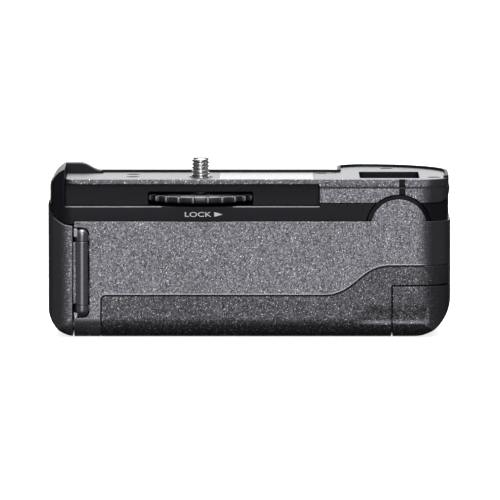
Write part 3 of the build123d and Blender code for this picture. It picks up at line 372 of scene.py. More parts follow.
def sliced(work, axis, level):
    """Cuts all faces of a mesh by the plane across an axis at a level in mm."""
    across = [float(k == axis) for k in range(3)]
    bmesh.ops.bisect_plane(work, geom=[*work.verts, *work.edges, *work.faces],
                           plane_co=[part * level * MM for part in across], plane_no=across)


def rounded_copy(node, width, cuts=(), shape=None):
    """A copy of a CAD node with edges rounded by a width in mm. The cuts slice it for shape to bend."""
    mesh = nodes[node].data.copy()
    mesh.name = node + "_part"
    work = bmesh.new()
    work.from_mesh(mesh)
    bmesh.ops.remove_doubles(work, verts=work.verts, dist=cad_weld * MM)
    bmesh.ops.dissolve_limit(work, angle_limit=math.radians(flat_angle),
                             verts=work.verts, edges=work.edges)
    edges = [edge for edge in work.edges
             if len(edge.link_faces) == 2 and edge.calc_face_angle(0) > math.radians(sharp_angle)]
    bmesh.ops.bevel(work, geom=edges, offset=width * MM, segments=2, profile=0.5,
                    affect="EDGES", clamp_overlap=False, miter_outer="ARC")
    for axis, level in cuts:
        sliced(work, axis, level)
    work.to_mesh(mesh)
    work.free()
    if shape:
        mesh.vertices.foreach_set("co", (shape(points_of(mesh) / MM) * MM).ravel())
    mesh.shade_smooth()
    mesh.set_sharp_from_angle(angle=math.radians(crease_angle))
    piece = shown(node + "_part", mesh)
    even = piece.modifiers.new("even_light", "WEIGHTED_NORMAL")
    even.keep_sharp = True
    low, high = (np.array(corner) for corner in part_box(node))
    points = points_of(mesh)
    grown = max((low - points.min(0)).max(), (points.max(0) - high).max()) / MM
    print(f"{piece.name}: {len(edges)} edges rounded, {len(mesh.polygons)} faces, "
          f"grown by {grown:.3f} mm")
    return piece


# %% [markdown]
# ## Putting a piece in a node's stead
# A copy or a new surface rides on the body of the CAD node that it replaces, and takes the finish
# of that node's slot. Some parts have a second finish on a few of their faces. Choosing them by
# where they lie and which way they look keeps such a part in one piece.

# %% Placing and painting helpers


def face_rows(mesh, kind):
    """One row of x, y and z for each face: its centre in metres, or its normal."""
    rows = np.empty(len(mesh.polygons) * 3)
    mesh.polygons.foreach_get(kind, rows)
    return rows.reshape(-1, 3)


def paint_faces(piece, finish, chosen):
    """Gives a second finish to the faces for which chosen(centre in mm, normal) holds."""
    mesh = piece.data
    here = chosen(face_rows(mesh, "center") / MM, face_rows(mesh, "normal"))
    index = np.empty(len(mesh.polygons), dtype=np.int32)
    mesh.polygons.foreach_get("material_index", index)
    index[here] = len(mesh.materials)
    mesh.materials.append(finishes[finish])
    mesh.polygons.foreach_set("material_index", index)
    print(f"{piece.name}: {int(here.sum())} faces in {finish}")


def dress(piece, finish):
    """Clears a piece's materials and gives it one finish all over."""
    piece.data.materials.clear()
    piece.data.materials.append(finishes[finish])


def place(piece, node, finish=None):
    """Puts a piece in a node's stead: it rides on the node's body and takes its slot and finish."""
    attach(piece, nodes[node]["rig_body"])
    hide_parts(node)
    dress(piece, finish or slot_of[node])
    return piece


print(len(set(slot_of.values())), "slots on", len(slot_of), "CAD nodes")

# %% [markdown]
# ## The scoop
# At the lower right the grip cover is hollowed where the heel of the hand lies. The hollow deepens
# slowly down the face, ends in a crease and dies out to the left. The flat faces there have no
# points to move, so level planes slice them first, and a product of soft steps moves the points.

# %% Scoop in the lower right
scoop_depth, scoop_top, scoop_deep, scoop_low = 0.75, 12.5, 6.0, 4.9
scoop_start_x, scoop_full_x, scoop_fade_x, scoop_end_x = 35.0, 44.0, 60.0, 66.0
skin_full, skin_end = 0.5, 1.0
slice_z, slice_x = 0.5, 1.0
rear_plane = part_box("rear_grip_cover")[0].y / MM
scoop_cuts = [(2, z) for z in np.arange(scoop_low - 0.2, scoop_top + slice_z, slice_z)]
scoop_cuts += [(0, x) for x in np.arange(scoop_start_x, scoop_full_x + 0.5, slice_x)]


def scooped(points):
    """Moves the skin in by depth * fade(x) * fall(z): fall rises to the crease and drops under it."""
    x, y, z = points.T
    fade = smooth_step(scoop_start_x, scoop_full_x, x)
    fall = (1 - smooth_step(scoop_deep, scoop_top, z)) * smooth_step(scoop_low, scoop_deep, z)
    skin = 1 - smooth_step(skin_full, skin_end, y - rear_plane)
    corner = 1 - smooth_step(scoop_fade_x, scoop_end_x, x)
    moved = points.copy()
    moved[:, 1] += scoop_depth * fade * fall * skin * corner
    return moved


print(len(scoop_cuts), "planes slice the scoop's faces")

# %% [markdown]
# ## Every moulded part, rounded
# Small parts have a finer edge than large ones, and the rear cover's seam edge is left almost
# sharp, as in the photo. Two planes also slice the frame's ledge under the wheel, so that the
# painted highlight on that ledge can stop where the wheel's shadow falls on it.

# %% Rounded parts
edge_widths = {
    "rear_cover": 0.15, "front_cover": 0.3, "battery_door": 0.3, "upper_trim": 0.25, "top_frame": 0.35,
    "top_plate": 0.2, "seat_pad": 0.12, "contact_block": 0.2, "base_plate": 0.25,
    "door_latch": 0.3, "magazine_frame": 0.3, "hinge_leaves": 0.1, "hand_grip_rubber": 0.3,
}
scooped_widths = {"rear_grip_cover": 0.45, "release_housing": 0.2}
ledge_shaded = (-30.5, -5.7)
parts = {}
for node, width in edge_widths.items():
    cuts = [(0, x) for x in ledge_shaded] if node == "top_frame" else ()
    finish = "palm_rubber" if node == "hand_grip_rubber" else None
    parts[node] = place(rounded_copy(node, width, cuts=cuts), node, finish)
for node, width in scooped_widths.items():
    parts[node] = place(rounded_copy(node, width, cuts=scoop_cuts, shape=scooped), node, "grip_rubber")
print(len(parts), "parts rounded")

# %% [markdown]
# ## The seam above the grip cover
# The shell's edge where the lower grip cover is let in catches the light: a pale bead along the
# seam is a painted highlight of that edge. The seam goes up the left side, round a corner, along,
# and up the S to the right. The S is read from the CAD cover, so the highlight can't leave it.

# %% The seam's path
cover_low, cover_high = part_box("rear_grip_cover")
left_x, low_z, high_z, corner_radius = cover_low.x / MM, 14.9, cover_high.z / MM, 1.8
curve_start_x, curve_end_x = 20, 49.1
run_start_z, run_start_x, run_end_x, last_start_x, last_end_x = 7.2, -45.0, 20.0, 50.0, 61.8
side_count = 12

cover_x, cover_y, cover_z = (points_of(nodes["rear_grip_cover"].data) / MM).T
on_curve = (abs(cover_y - rear_plane) < 0.02) & (cover_x > curve_start_x) & (cover_x < curve_end_x)
on_curve &= cover_z > low_z - 0.1
curve = np.unique(np.column_stack([cover_x, cover_z])[on_curve].round(3), axis=0)


def level_run(start, stop, height, count=14):
    """Evenly spaced points of the seam at one height."""
    return np.column_stack([np.linspace(start, stop, count), np.full(count, height)])


bend = np.linspace(np.pi, np.pi / 2, 9)[1:]
side_z = np.linspace(run_start_z, low_z - corner_radius, side_count)
seam = np.concatenate([
    np.column_stack([np.full(side_count, left_x), side_z]),
    np.column_stack([left_x + corner_radius + corner_radius * np.cos(bend),
                     low_z - corner_radius + corner_radius * np.sin(bend)]),
    level_run(run_start_x, run_end_x, low_z), curve, level_run(last_start_x, last_end_x, high_z)])
print("seam points:", len(seam))

# %% [markdown]
# ## Painted highlight along the seam
# The bead, a painted highlight, is a narrow ellipse carried along the seam. It lies on the shell's
# rear face, which is flat and then goes round the rounded right corner, and its two ends shrink to a
# point.

# %% Painted highlight bead along the seam
bend_x, bend_radius = 57.5, 12.5
taper, inner_shift = 3.0, 0.12


def shell_y(x):
    """The shell's rear face: flat, then a circle about the centre of the rounded right corner."""
    past = np.clip(x - bend_x, 0, None)
    return rear_plane + bend_radius - np.sqrt(bend_radius ** 2 - past ** 2)


def seam_highlight_bead(width=0.4, height=0.12, around=12):
    """Each seam point carries an ellipse, half a width beside it: across * cos a + outwards * sin a."""
    run = np.gradient(seam, axis=0)
    run /= np.linalg.norm(run, axis=1)[:, None]
    aside = np.stack([-run[:, 1], run[:, 0]], -1)
    length = np.concatenate([[0], np.cumsum(np.linalg.norm(np.diff(seam, axis=0), axis=1))])
    swell = np.clip(np.minimum(length, length[-1] - length) / taper, 0.0, 1)[:, None]
    angle = full_turn(around)
    across = inner_shift + (width / 2) * (1 + swell * np.cos(angle))
    x = seam[:, :1] + aside[:, :1] * across
    z = seam[:, 1:] + aside[:, 1:] * across
    y = shell_y(x) - height * swell * np.sin(angle)
    return np.stack([x, y, z], -1).reshape(-1, 3) * MM, grid_faces(len(seam), around)


# The bead is a painted highlight of the shell's rolled edge along the seam.
bead = finish_mesh("painted_seam_highlight", *seam_highlight_bead())
dress(bead, "painted_pale_highlight")
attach(bead, "grip")
print("bead faces:", len(bead.data.polygons))

# %% [markdown]
# ## Lip at the waist
# A low lip runs along the front of the seat and round the bulge on the right. CAD gives both
# stretches, and a short bar of the same section carries the lip across the waist between them.

# %% Waist lip


def lip_bar(start=27.6, end=31.2, back=5.7, front=7.3, foot=53.6, top=55.97, roll=0.3):
    """One section, a box with rolled upper corners, repeated at places along X, closed at both ends."""
    turn = np.linspace(0, np.pi / 2, 5)
    upper = np.concatenate([
        np.stack([front - roll + roll * np.cos(turn), top - roll + roll * np.sin(turn)], -1),
        np.stack([back + roll - roll * np.sin(turn), top - roll + roll * np.cos(turn)], -1)])
    section = np.concatenate([[[front, foot]], upper, [[back, foot]]])
    centre = np.broadcast_to(section.mean(0), section.shape)
    loops = zip([centre, section, section, centre], (start, start, end, end))
    points = [np.column_stack([np.full(len(loop), x), loop]) for loop, x in loops]
    return np.concatenate(points) * MM, grid_faces(4, len(section))


waist_lip = finish_mesh("waist_lip", *lip_bar())
# The lip's near-black is painted shade, as on the frame's lip beside it.
dress(waist_lip, "inner_plastic")
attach(waist_lip, "grip")
print("lip faces:", len(waist_lip.data.polygons))

# %% [markdown]
# ## Second finishes on the plate
# The plate's top is smooth and its upright rear edge is speckled like the shell. Its lip and the
# walls of its contact well and of its screw holes are near-black: painted shade. The index slot,
# which the plate and the trim share, is near-black as well: painted shade in the slot.

# %% Plate faces with another finish
plate_spots = np.array([(-40.6, -13.9), (-40.6, -2.8), (24.9, 1.6), (48.2, 23.6), (64.2, -15.8)])
corner_spot, corner_clear, corner_x = plate_spots[-1], 3.0, 60.5
plate_top, lip_foot, plate_rear_y = 55.05, 55.06, -25.0
well_x, well_y, well_half_x, well_half_y = 48.75, -5.9, 10.6, 14.8
hole_reach = 2.7
slot_x, slot_half, slot_foot = 53.0, 0.96, 49.2
slot_rear_y, slot_back_y = -28.55, -24.0


def in_shaded_index_slot(centre, normal):
    """Painted shade: behind the shell's face, between the slot's sides and above its foot."""
    x, y, z = centre.T
    inside = (abs(x - slot_x) < slot_half) & (z > slot_foot)
    return inside & (y > slot_rear_y) & (y < slot_back_y) & (normal[:, 2] < 0.5)


def on_rear_edge(centre, normal):
    """The upright faces of the plate's rear edge, and of its right corner but for its screw's hole."""
    x, y, z = centre.T
    outwards = (normal[:, 0] > 0.3) | (normal[:, 1] < -0.3)
    clear = np.hypot(x - corner_spot[0], y - corner_spot[1]) > corner_clear
    corner = outwards & (x > corner_x) & clear
    return (abs(normal[:, 2]) < 0.6) & (z < plate_top) & ((y < plate_rear_y) | corner)


def on_shaded_lip_or_hole(centre, normal):
    """Painted shade: the plate's raised lip, and the upright walls of its contact well and its screw
    holes.
    """
    x, y, z = centre.T
    well = (abs(x - well_x) < well_half_x) & (abs(y - well_y) < well_half_y)
    away = np.hypot(x[:, None] - plate_spots[:, 0], y[:, None] - plate_spots[:, 1]).min(1)
    steep = abs(normal[:, 2])
    return (z > lip_foot) | well & (steep < 0.5) | (away < hole_reach) & (steep < 0.96)


paint_faces(parts["top_plate"], "edge_speckle", on_rear_edge)
# Painted shade on the lip and on the walls of the well and the screw holes.
paint_faces(parts["top_plate"], "inner_plastic", on_shaded_lip_or_hole)
# Painted shade in the index slot.
paint_faces(parts["top_plate"], "inner_plastic", in_shaded_index_slot)

# %% [markdown]
# ## Second finishes on the shell, the hinge and the frame
# The hinge barrel is smooth on both parts that share it, and the leaves at its ends carry a painted
# highlight. The ledge under the thumb recess carries a painted highlight, and the rolled edges along
# the seam and on top of the trim and the frame's front lip carry painted shade.

# %% Shell, hinge and frame faces with another finish
pin_low, pin_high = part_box("hinge_pin")
hinge_x, hinge_y = ((pin_low + pin_high) / 2 / MM).xy
barrel_reach, rolled = 2.3, 0.2
ledge_inset, ledge_depth, ledge_reach = 0.7, 0.5, 0.5
ledge_front = rear_plane + ledge_inset + ledge_depth
ledge_z, ledge_left_x, ledge_right_x = 45.7, -64.4, 24.4
recess_left_x, recess_foot, recess_top = -64.1, 45.8, 56.5
far_lip_y, far_lip_z = 5.2, 54.5
seam_low_z, seam_left_x, seam_near, seam_far = 13.2, -50, 0.01, 0.6
trim_edge_z = 51.6


def on_barrel(centre, normal):
    """Within the barrel's radius of the hinge's axis."""
    return np.hypot(centre[:, 0] - hinge_x, centre[:, 1] - hinge_y) < barrel_reach


def on_ledge_highlight(centre, normal):
    """Painted highlight on the ledge's rolled edge, but not where the wheel's shadow falls, and on the
    recess's left edge.
    """
    x, y, z = centre.T
    below = (abs(z - ledge_z) < ledge_reach) & (normal[:, 2] > rolled)
    below &= (x < ledge_right_x) & (x > ledge_left_x)
    below &= (x < ledge_shaded[0]) | (x > ledge_shaded[1])
    left = (abs(x - recess_left_x) < ledge_reach) & (abs(normal[:, 0]) > rolled)
    return (y < ledge_front) & (below | left & (z > recess_foot) & (z < recess_top))


def on_far_lip_shade(centre, normal):
    """Painted shade: the frame's front lip, which stands above the seat."""
    return (centre[:, 1] > far_lip_y) & (centre[:, 2] > far_lip_z)


def on_seam_shade(centre, normal):
    """Painted shade: the rolled edge of the grip cover along its seam with the shell, its upper and its
    left side.
    """
    x, y, z = centre.T
    upper = (normal[:, 2] > rolled) & (z > seam_low_z)
    left = (normal[:, 0] < -rolled) & (x < seam_left_x)
    return (y < rear_plane + seam_far) & (y > rear_plane + seam_near) & (upper | left)


def on_trim_top_shade(centre, normal):
    """Painted shade: the trim's rolled upper edge."""
    return (normal[:, 2] > rolled) & (centre[:, 2] > trim_edge_z)


def facing_rear(centre, normal):
    """Faces that look towards -Y; on the hinge leaves they carry a painted highlight."""
    return normal[:, 1] < -0.5


paint_faces(parts["rear_cover"], "barrel_plastic", on_barrel)
paint_faces(parts["battery_door"], "barrel_plastic", on_barrel)
# Painted highlight on the ledge's rolled edge, stopped where the wheel's shadow falls.
paint_faces(parts["top_frame"], "painted_edge_light_shade", on_ledge_highlight)
# Painted shade on the frame's front lip.
paint_faces(parts["top_frame"], "inner_plastic", on_far_lip_shade)
# Painted highlight on the hinge leaves' rear faces.
paint_faces(parts["hinge_leaves"], "painted_pale_highlight", facing_rear)
# Painted shade along the seam's rolled edge, the dark line under the bead.
paint_faces(parts["rear_grip_cover"], "inner_plastic", on_seam_shade)
# Painted shade on the trim's rolled top edge.
paint_faces(parts["upper_trim"], "inner_plastic", on_trim_top_shade)
# Painted shade in the index slot.
paint_faces(parts["upper_trim"], "inner_plastic", in_shaded_index_slot)

# %% [markdown]
# ## Tripod screw
# The screw is a standard one, 6.35 mm across with 20 threads to the inch. CAD keeps it a plain
# cylinder for fit. Here its wall is a function of height and angle: the radius follows a ridge
# that climbs one pitch a turn, so one grid holds the whole thread, its neck and its flange.

# %% Thread, neck and flange
thread_pitch, thread_root, thread_crest = 1.27, 2.55, 3.175
thread_start, thread_fade, tip_length, row_height = 54.4, 0.8, 0.6, 0.07
screw_low, screw_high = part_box("tripod_screw")
screw_x, screw_y = ((screw_low + screw_high) / 2 / MM).xy
screw_top, screw_foot = screw_high.z / MM, screw_low.z / MM
wheel_low, wheel_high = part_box("lock_wheel")
flange_low, flange_height, flange_radius, flange_edge = wheel_high.z / MM, 1.2, 5.2, 0.2
flange_high = flange_low + flange_height
flank_slope, root_flat, end_shade, flange_margin = 1.5, 0.2, 0.3, 0.05


def threaded_screw(steps=96):
    """Radius = root + (crest - root) * ridge, a clipped triangle wave of (z / pitch - angle / turn)."""
    level = np.concatenate([
        [screw_foot, screw_foot, flange_low, flange_low],
        [flange_low + flange_edge, flange_high - flange_edge, flange_high, flange_high],
        np.arange(thread_start, screw_top - 0.01, row_height), [screw_top, screw_top]])
    base = np.full(len(level), thread_root)
    base[0] = base[-1] = 0.0
    base[3:7] = flange_radius - np.array([flange_edge, 0.0, 0.0, flange_edge])
    level, base, angle = level[:, None], base[:, None], full_turn(steps)
    turn = (level - thread_start) / thread_pitch - angle / (2 * np.pi)
    ridge = np.clip((1 - np.abs(2 * (turn % 1) - 1)) * flank_slope - root_flat, 0, 1)
    along = smooth_step(thread_start, thread_start + thread_fade, level)
    tip = thread_crest - np.clip(level - (screw_top - tip_length), 0, None)
    reach = base + (thread_crest - thread_root) * ridge * along * (base > 0)
    reach = np.where(level > thread_start, np.minimum(reach, tip), reach)
    points = np.stack([screw_x + reach * np.cos(angle), screw_y + reach * np.sin(angle),
                       np.broadcast_to(level, reach.shape)], -1)
    return points.reshape(-1, 3) * MM, grid_faces(len(level), steps)


def on_shaded_screw_end(centre, normal):
    """Painted shade: the screw's flat end and the last of its chamfer."""
    return centre[:, 2] > screw_top - end_shade


def on_flange(centre, normal):
    """The flange and all that is below it."""
    return centre[:, 2] < flange_high + flange_margin


screw = place(finish_mesh("threaded_screw", *threaded_screw()), "tripod_screw")
# Painted shade on the screw's flat end, which would otherwise mirror the bright surroundings.
paint_faces(screw, "painted_edge_light_shade", on_shaded_screw_end)
paint_faces(screw, "wheel_plastic", on_flange)
print("screw faces:", len(screw.data.polygons))

# %% [markdown]
# ## Lock wheel
# The wheel is moulded with narrow ribs for the thumb. One closed profile goes round it: up the
# bore, out over the top, round the rim and back below. The rim's radius swells where a rib is,
# as a function of the distance from the nearest rib. Its crests and its upper edge carry a painted
# highlight.

# %% Ribbed wheel
rib_count, rib_rise, rib_half, rib_steps = 22, 1.1, 0.58, 28
rib_inner, rib_outer, crest_depth = 0.35, 0.1, 0.3
bore_radius, hub_radius, groove_radius, groove_depth = 2.6, 12.0, 12.4, 0.35
wheel_radius = (wheel_high.x - wheel_low.x) / 2 / MM
wheel_bottom, wheel_top = wheel_low.z / MM, wheel_high.z / MM


def ribbed_wheel(steps=rib_count * rib_steps):
    """Radius = profile radius + share * rise * rib(angle): rib is 1 near a rib and 0 past its sides."""
    floor = wheel_radius - rib_rise
    shoulder = [floor - 0.9, floor - 0.5, floor - 0.12, floor]
    radii = np.array([bore_radius, bore_radius, hub_radius, groove_radius, *shoulder, *shoulder[::-1],
                      hub_radius, bore_radius])
    share = np.array([0, 0, 0, 0, 0, 0.55, 0.85, 1, 1, 0.85, 0.55, 0, 0, 0.0])
    up = np.array([0, 1, 1, 1, 1, 0.97, 0.88, 0.72, 0.28, 0.12, 0.03, 0, 0, 0.0])
    level = wheel_bottom + up * (wheel_top - wheel_bottom)
    level[3] -= groove_depth
    place_in_pitch = (full_turn(steps) + np.pi / 2) * rib_count / (2 * np.pi) % 1 - 0.5
    away = np.abs(place_in_pitch) * 2 * np.pi * wheel_radius / rib_count
    rib = 1 - smooth_step(rib_half - rib_inner, rib_half + rib_outer, away)
    return turned(radii, level, steps, (screw_x, screw_y, 0.0), share[:, None] * rib_rise * rib)


def on_crest_highlight(centre, normal):
    """Painted highlight: the ribs' outer faces."""
    reach = np.hypot(centre[:, 0] - screw_x, centre[:, 1] - screw_y)
    return (reach > wheel_radius - crest_depth) & (abs(normal[:, 2]) < 0.6)


def on_upper_edge_highlight(centre, normal):
    """Painted highlight: the bevel round the wheel's upper edge, which looks half up and half out."""
    return (normal[:, 2] > 0.5) & (normal[:, 2] < 0.9)


wheel = place(finish_mesh("ribbed_wheel", *ribbed_wheel(), crease=50.0), "lock_wheel")
# Painted highlight on the crests of the ribs.
paint_faces(wheel, "painted_rib_highlight", on_crest_highlight)
# Painted highlight on the wheel's upper edge.
paint_faces(wheel, "painted_edge_light_shade", on_upper_edge_highlight)

# %% [markdown]
# ## Crosshead screws
# Small countersunk screws hold the top plate and the base plate. Their heads are discs whose
# height is a function of place: two crossed bars, each a product of soft steps, sink into them.
# The plate's screws sit a little below its face, so the shaded wall round each one shows.

# %% Crosshead screws
bar_sides, bar_ends = (0.22, 0.36), (1.0, 1.35)
recess_depth, rim_drop, rim_width, head_edge, head_depth = 0.7, 0.12, 0.25, 0.2, 1.2
plate_head, base_head = 1.85, 1.95
base_half_x, base_middle_y, base_half_y = 13.0, -7.0, 6.5


def bar(across, along):
    """1 on a bar, and 0 past its sides and its ends."""
    return (1 - smooth_step(*bar_sides, abs(across))) * (1 - smooth_step(*bar_ends, abs(along)))


def crosshead(centre, radius, up, rings=12, steps=48):
    """Height = -depth * the larger of two crossed bars; below its rim the head narrows to a point."""
    spread, angle = np.linspace(0, 1, rings) * radius, full_turn(steps)
    x, y = spread[:, None] * np.cos(angle), spread[:, None] * np.sin(angle)
    height = -recess_depth * np.maximum(bar(x, y), bar(y, x))
    height = height - rim_drop * smooth_step(radius - rim_width, radius, spread)[:, None]
    under = np.array([[radius, head_edge], [radius * 0.5, head_depth], [0.0, head_depth]])
    x = np.concatenate([x, under[:, :1] * np.cos(angle)])
    y = np.concatenate([y, under[:, :1] * np.sin(angle)])
    height = np.concatenate([height, -np.broadcast_to(under[:, 1:], (len(under), steps))])
    points = np.stack([centre[0] + x, centre[1] + y, centre[2] + up * height], -1)
    return points.reshape(-1, 3) * MM, grid_faces(rings + len(under), steps)


def screw_set(name, node, centres, radius, up):
    """Several heads in one mesh, each a grid of its own."""
    grids = [crosshead(centre, radius, up) for centre in centres]
    points = np.concatenate([grid for grid, _ in grids])
    faces = np.concatenate([joined + k * len(grid) for k, (grid, joined) in enumerate(grids)])
    heads = place(finish_mesh(name, points, faces), node)
    print(f"{name}: {len(grids)} heads, {len(heads.data.polygons)} faces")


seat_z, seat_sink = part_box("top_plate_screws")[1].z / MM, 0.45
plate_heads = [(x, y, seat_z - seat_sink) for x, y in plate_spots]
base_heads = [(side * base_half_x, base_middle_y + end * base_half_y, 0.0)
              for side in (-1, 1) for end in (-1, 1)]
screw_set("plate_screw_heads", "top_plate_screws", plate_heads, plate_head, 1)
screw_set("base_screw_heads", "base_screws", base_heads, base_head, -1)

# %% [markdown]
# ## Release button and collar
# The portrait release has a dished button in a knurled lock collar. Both are turned shapes on an
# axis along X; the collar's knurl is a fine wave on its rim and its nub a single taller swell.

# %% Button and collar
collar_low, collar_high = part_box("release_collar")
button_low, button_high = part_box("release_button")
axis_y, axis_z = ((button_low + button_high) / 2 / MM).yz
collar_radius, button_radius, stem_radius, button_height = 7.4, 4.6, 1.8, 2.2
knurl_count, knurl_height, nub_height, dish_depth = 60, 0.12, 0.9, 0.5
nub_sides = (0.5, 1.3)


def knurled_collar(steps=240):
    """Radius = profile radius + share * (knurl's height * cos 60t + the nub's swell near the top)."""
    foot, crown = collar_low.x / MM, collar_high.x / MM
    inner, outer = button_radius + 0.3, collar_radius - 0.15
    radii = [inner, outer, outer, outer - 0.15, outer - 0.6, inner + 0.5, inner, inner]
    level = [foot, foot, crown - 0.6, crown - 0.2, crown, crown - 0.15, crown - 0.6, foot]
    share = np.array([0, 1, 1, 0.7, 0.2, 0, 0, 0.0])[:, None]
    angle = full_turn(steps)
    nub = 1 - smooth_step(*nub_sides, np.abs(angle - np.pi / 2) * collar_radius)
    swell = share * (knurl_height * np.cos(knurl_count * angle) * (1 - nub) + nub_height * nub)
    return turned(radii, level, steps, (0.0, axis_y, axis_z), swell, axis="x")


def dished_button(steps=96):
    """A profile whose crown dips towards the middle as a parabola, on the stem's radius below."""
    foot, crown = button_low.x / MM, button_high.x / MM
    skirt, dish_radius = crown - button_height, button_radius - 0.7
    spread = np.linspace(dish_radius, 0, 8)
    radii = [0, stem_radius, stem_radius, button_radius, button_radius, button_radius - 0.2, *spread]
    level = [foot, foot, skirt, skirt, crown - 0.6, crown - 0.15,
             *(crown - dish_depth * (1 - (spread / dish_radius) ** 2))]
    return turned(radii, level, steps, (0.0, axis_y, axis_z), axis="x")


collar = place(finish_mesh("knurled_collar", *knurled_collar()), "release_collar")
button = place(finish_mesh("dished_button", *dished_button()), "release_button", "button_gloss")
print("collar faces:", len(collar.data.polygons), "button faces:", len(button.data.polygons))

# %% [markdown]
# ## The lock marking
# The band under the wheel carries a function marking: the word that says what turning the wheel
# does and an arrow head. It is printed, so it is a thin raised film. Text is made a mesh before it
# is placed, so that its object sits at the origin like every other piece.

# %% Word and arrow head
band_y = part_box("top_frame")[0].y / MM
film = 0.04
front, back = band_y - film * 0.5, band_y + film * 0.5
word_low, word_high = (-22.4, 42.15), (-13.2, 43.85)
tip_x, tip_z, arrow_left_x = -9.35, 43.0, -12.25
stroke_gain = 0.012
ink = bpy.data.curves.new("lock_word_curve", "FONT")
ink.body = "LOCK"
ink.extrude = film / 2
ink.offset = stroke_gain
word_source = shown("lock_word_source", ink)
bpy.context.view_layer.update()
worked_out = word_source.evaluated_get(bpy.context.evaluated_depsgraph_get())
flat = bpy.data.meshes.new_from_object(worked_out)
bpy.data.objects.remove(word_source)


def fitted(mesh, low, high):
    """Scales a flat mesh to fill the box low to high on the rear face, from its back to its front."""
    points = points_of(mesh)
    least, most = points.min(0), points.max(0)
    share = (points - least) / np.maximum(most - least, 1e-9)
    placed = np.stack([low[0] + share[:, 0] * (high[0] - low[0]), back - film * share[:, 2],
                       low[1] + share[:, 1] * (high[1] - low[1])], -1)
    mesh.vertices.foreach_set("co", (placed * MM).ravel())
    return mesh


word = shown("lock_word", fitted(flat, word_low, word_high))
arrow_sides = [(arrow_left_x, word_high[1]), (arrow_left_x, word_low[1]), (tip_x, tip_z)]
corners = np.array([(x, y, z) for y in (front, back) for x, z in arrow_sides]) * MM
arrow_mesh = bpy.data.meshes.new("lock_arrow")
arrow_mesh.from_pydata(corners.tolist(), [],
                       [(0, 1, 2), (3, 5, 4), (0, 3, 4, 1), (1, 4, 5, 2), (2, 5, 3, 0)])
arrow = shown("lock_arrow", arrow_mesh)
for piece in (word, arrow):
    dress(piece, "marking")
    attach(piece, "grip")
print("word faces:", len(word.data.polygons), "arrow faces:", len(arrow.data.polygons))

# %% [markdown]
# ## Parts that keep their CAD shape
# Boards, cells, pins and strips are inside or very small, and their CAD shape is right. They only
# get the finish of their slot. The wheel's bush is the one exception: it gets a near-black finish,
# painted shade under the wheel where it shows in its slot.

# %% Finish the CAD nodes that stay
kept = {node: shape for node, shape in nodes.items() if not shape.hide_render}
for node, shape in kept.items():
    # The wheel's bush gets a near-black finish: painted shade under the wheel.
    dress(shape, "black_screw" if node == "wheel_bush" else slot_of[node])
print("CAD nodes kept:", len(kept))

# %% [markdown]
# ## Floor
# The grip stands on a pale floor. It glows a little, so that it stays as white as the photo's
# background, and it is left out of the grip's own light and reflections.

# %% Floor
floor_reach, floor_z = 40.0, -0.0001
floor_tone, floor_rough, floor_glow = 0.82, 0.9, 0.8
floor_mesh = bpy.data.meshes.new("floor")
floor_corners = [(-floor_reach, -floor_reach, floor_z), (floor_reach, -floor_reach, floor_z),
                 (floor_reach, floor_reach, floor_z), (-floor_reach, floor_reach, floor_z)]
floor_mesh.from_pydata(floor_corners, [], [(0, 1, 2, 3)])
floor = shown("floor", floor_mesh)
pale, _, pale_shade = new_material("pale_floor")
pale_shade.inputs["Base Color"].default_value = grey(floor_tone)
pale_shade.inputs["Roughness"].default_value = floor_rough
pale_shade.inputs["Emission Color"].default_value = (1, 1, 1, 1)
pale_shade.inputs["Emission Strength"].default_value = floor_glow
floor_mesh.materials.append(pale)
floor.visible_diffuse = False
floor.visible_glossy = False
print("floor:", 2 * floor_reach, "m wide")

# %% [markdown]
# ## Surrounding light
# The studio is a function of direction. There is a soft glow behind the camera with a small bright
# spot in it, which gives the screw its bright middle line, a bright wall beyond the grip, which the
# seat mirrors at a low angle, a strip overhead, and a faint glow at both sides. The camera itself
# sees plain white.

# %% Studio surroundings
world = bpy.data.worlds.new("studio")
bpy.context.scene.world = world
world.use_nodes = True
sky = world.node_tree
direction = add(sky, "ShaderNodeTexCoord").outputs["Generated"]
across, onward, upward = add(sky, "ShaderNodeSeparateXYZ", {"Vector": direction}).outputs[:3]
aside = calc(sky, "ABSOLUTE", across, 0.0)

camera_glow = ramp(sky, onward, -0.7, -0.93, 0.0, 0.38)
camera_spot = ramp(sky, onward, -0.975, -0.99, 0.0, 2.2)
wall = calc(sky, "MULTIPLY", ramp(sky, onward, 0.35, 0.7, 0.0, 1.5), ramp(sky, aside, 0.42, 0.28))
side_glow = ramp(sky, aside, 0.8, 0.98, 0.0, 0.18)
strip = calc(sky, "MULTIPLY", ramp(sky, aside, 0.3, 0.16), ramp(sky, upward, 0.25, 0.6, 0.0, 3.5))
overhead = calc(sky, "ADD", ramp(sky, upward, 0.6, 0.85, 0.01, 0.9), strip)
above_floor = ramp(sky, upward, -0.5, -0.2)

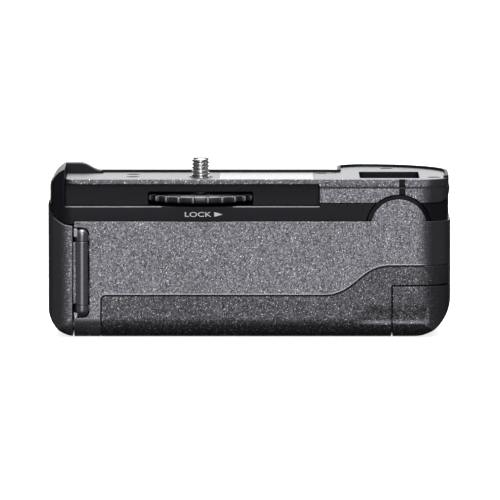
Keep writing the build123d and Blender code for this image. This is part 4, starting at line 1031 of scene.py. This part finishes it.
behind = calc(sky, "ADD", camera_glow, camera_spot)
around = calc(sky, "ADD", behind, calc(sky, "ADD", wall, side_glow))
glow = calc(sky, "ADD", calc(sky, "MULTIPLY", around, above_floor), overhead)
seen = add(sky, "ShaderNodeLightPath").outputs["Is Camera Ray"]
background = sky.nodes["Background"]
feed(sky, background.inputs["Strength"], calc(sky, "MAXIMUM", glow, seen))
background.inputs["Color"].default_value = (0.97, 0.98, 1.0, 1)
print("studio nodes:", len(sky.nodes))

# %% [markdown]
# ## Softboxes
# Two large soft lights do the rest: one in front and above, as a photographer would set it for a
# dark object, and one straight overhead that lights the rolled upper edges.

# %% Softboxes


def soft_light(name, spot, width, height, power):
    """A rectangular softbox at a spot in metres, turned to face the grip's middle."""
    aim = Vector((0, 0, 0.03))
    lamp = bpy.data.lights.new(name, "AREA")
    lamp.shape = "RECTANGLE"
    lamp.size, lamp.size_y, lamp.energy = width, height, power
    holder = shown(name, lamp)
    holder.location = spot
    holder.rotation_euler = (aim - Vector(spot)).to_track_quat("-Z", "Y").to_euler()
    print(f"{name}: {width} by {height} m, {power} W")


soft_light("front_softbox", (0.0, -2.4, 0.75), 1.2, 0.9, 13.3)
soft_light("top_softbox", (0.0, 0.1, 1.4), 1.0, 1.0, 20)

# %% [markdown]
# ## Camera
# The photo was taken from the rear, about 5 degrees above the level, with a long lens: the
# grip's edges hardly converge. The camera stands 3 m away, where its view spans 173.6 mm.

# %% Camera
tilt = math.radians(5.0)
sight = Vector((0, math.cos(tilt), -math.sin(tilt)))
target = Vector((0.18, -25.4, 30.37)) * MM
lens_distance, span, sensor = 3.0, 0.1736, 36.0
camera_data = bpy.data.cameras.new("camera")
camera_data.sensor_width = sensor
camera_data.lens = sensor * lens_distance / span
camera = shown("camera", camera_data)
camera.location = target - sight * lens_distance
camera.rotation_euler = sight.to_track_quat("-Z", "Y").to_euler()
bpy.context.scene.camera = camera
bpy.context.scene.view_settings.view_transform = "Standard"
print("lens:", round(camera_data.lens, 1), "mm")
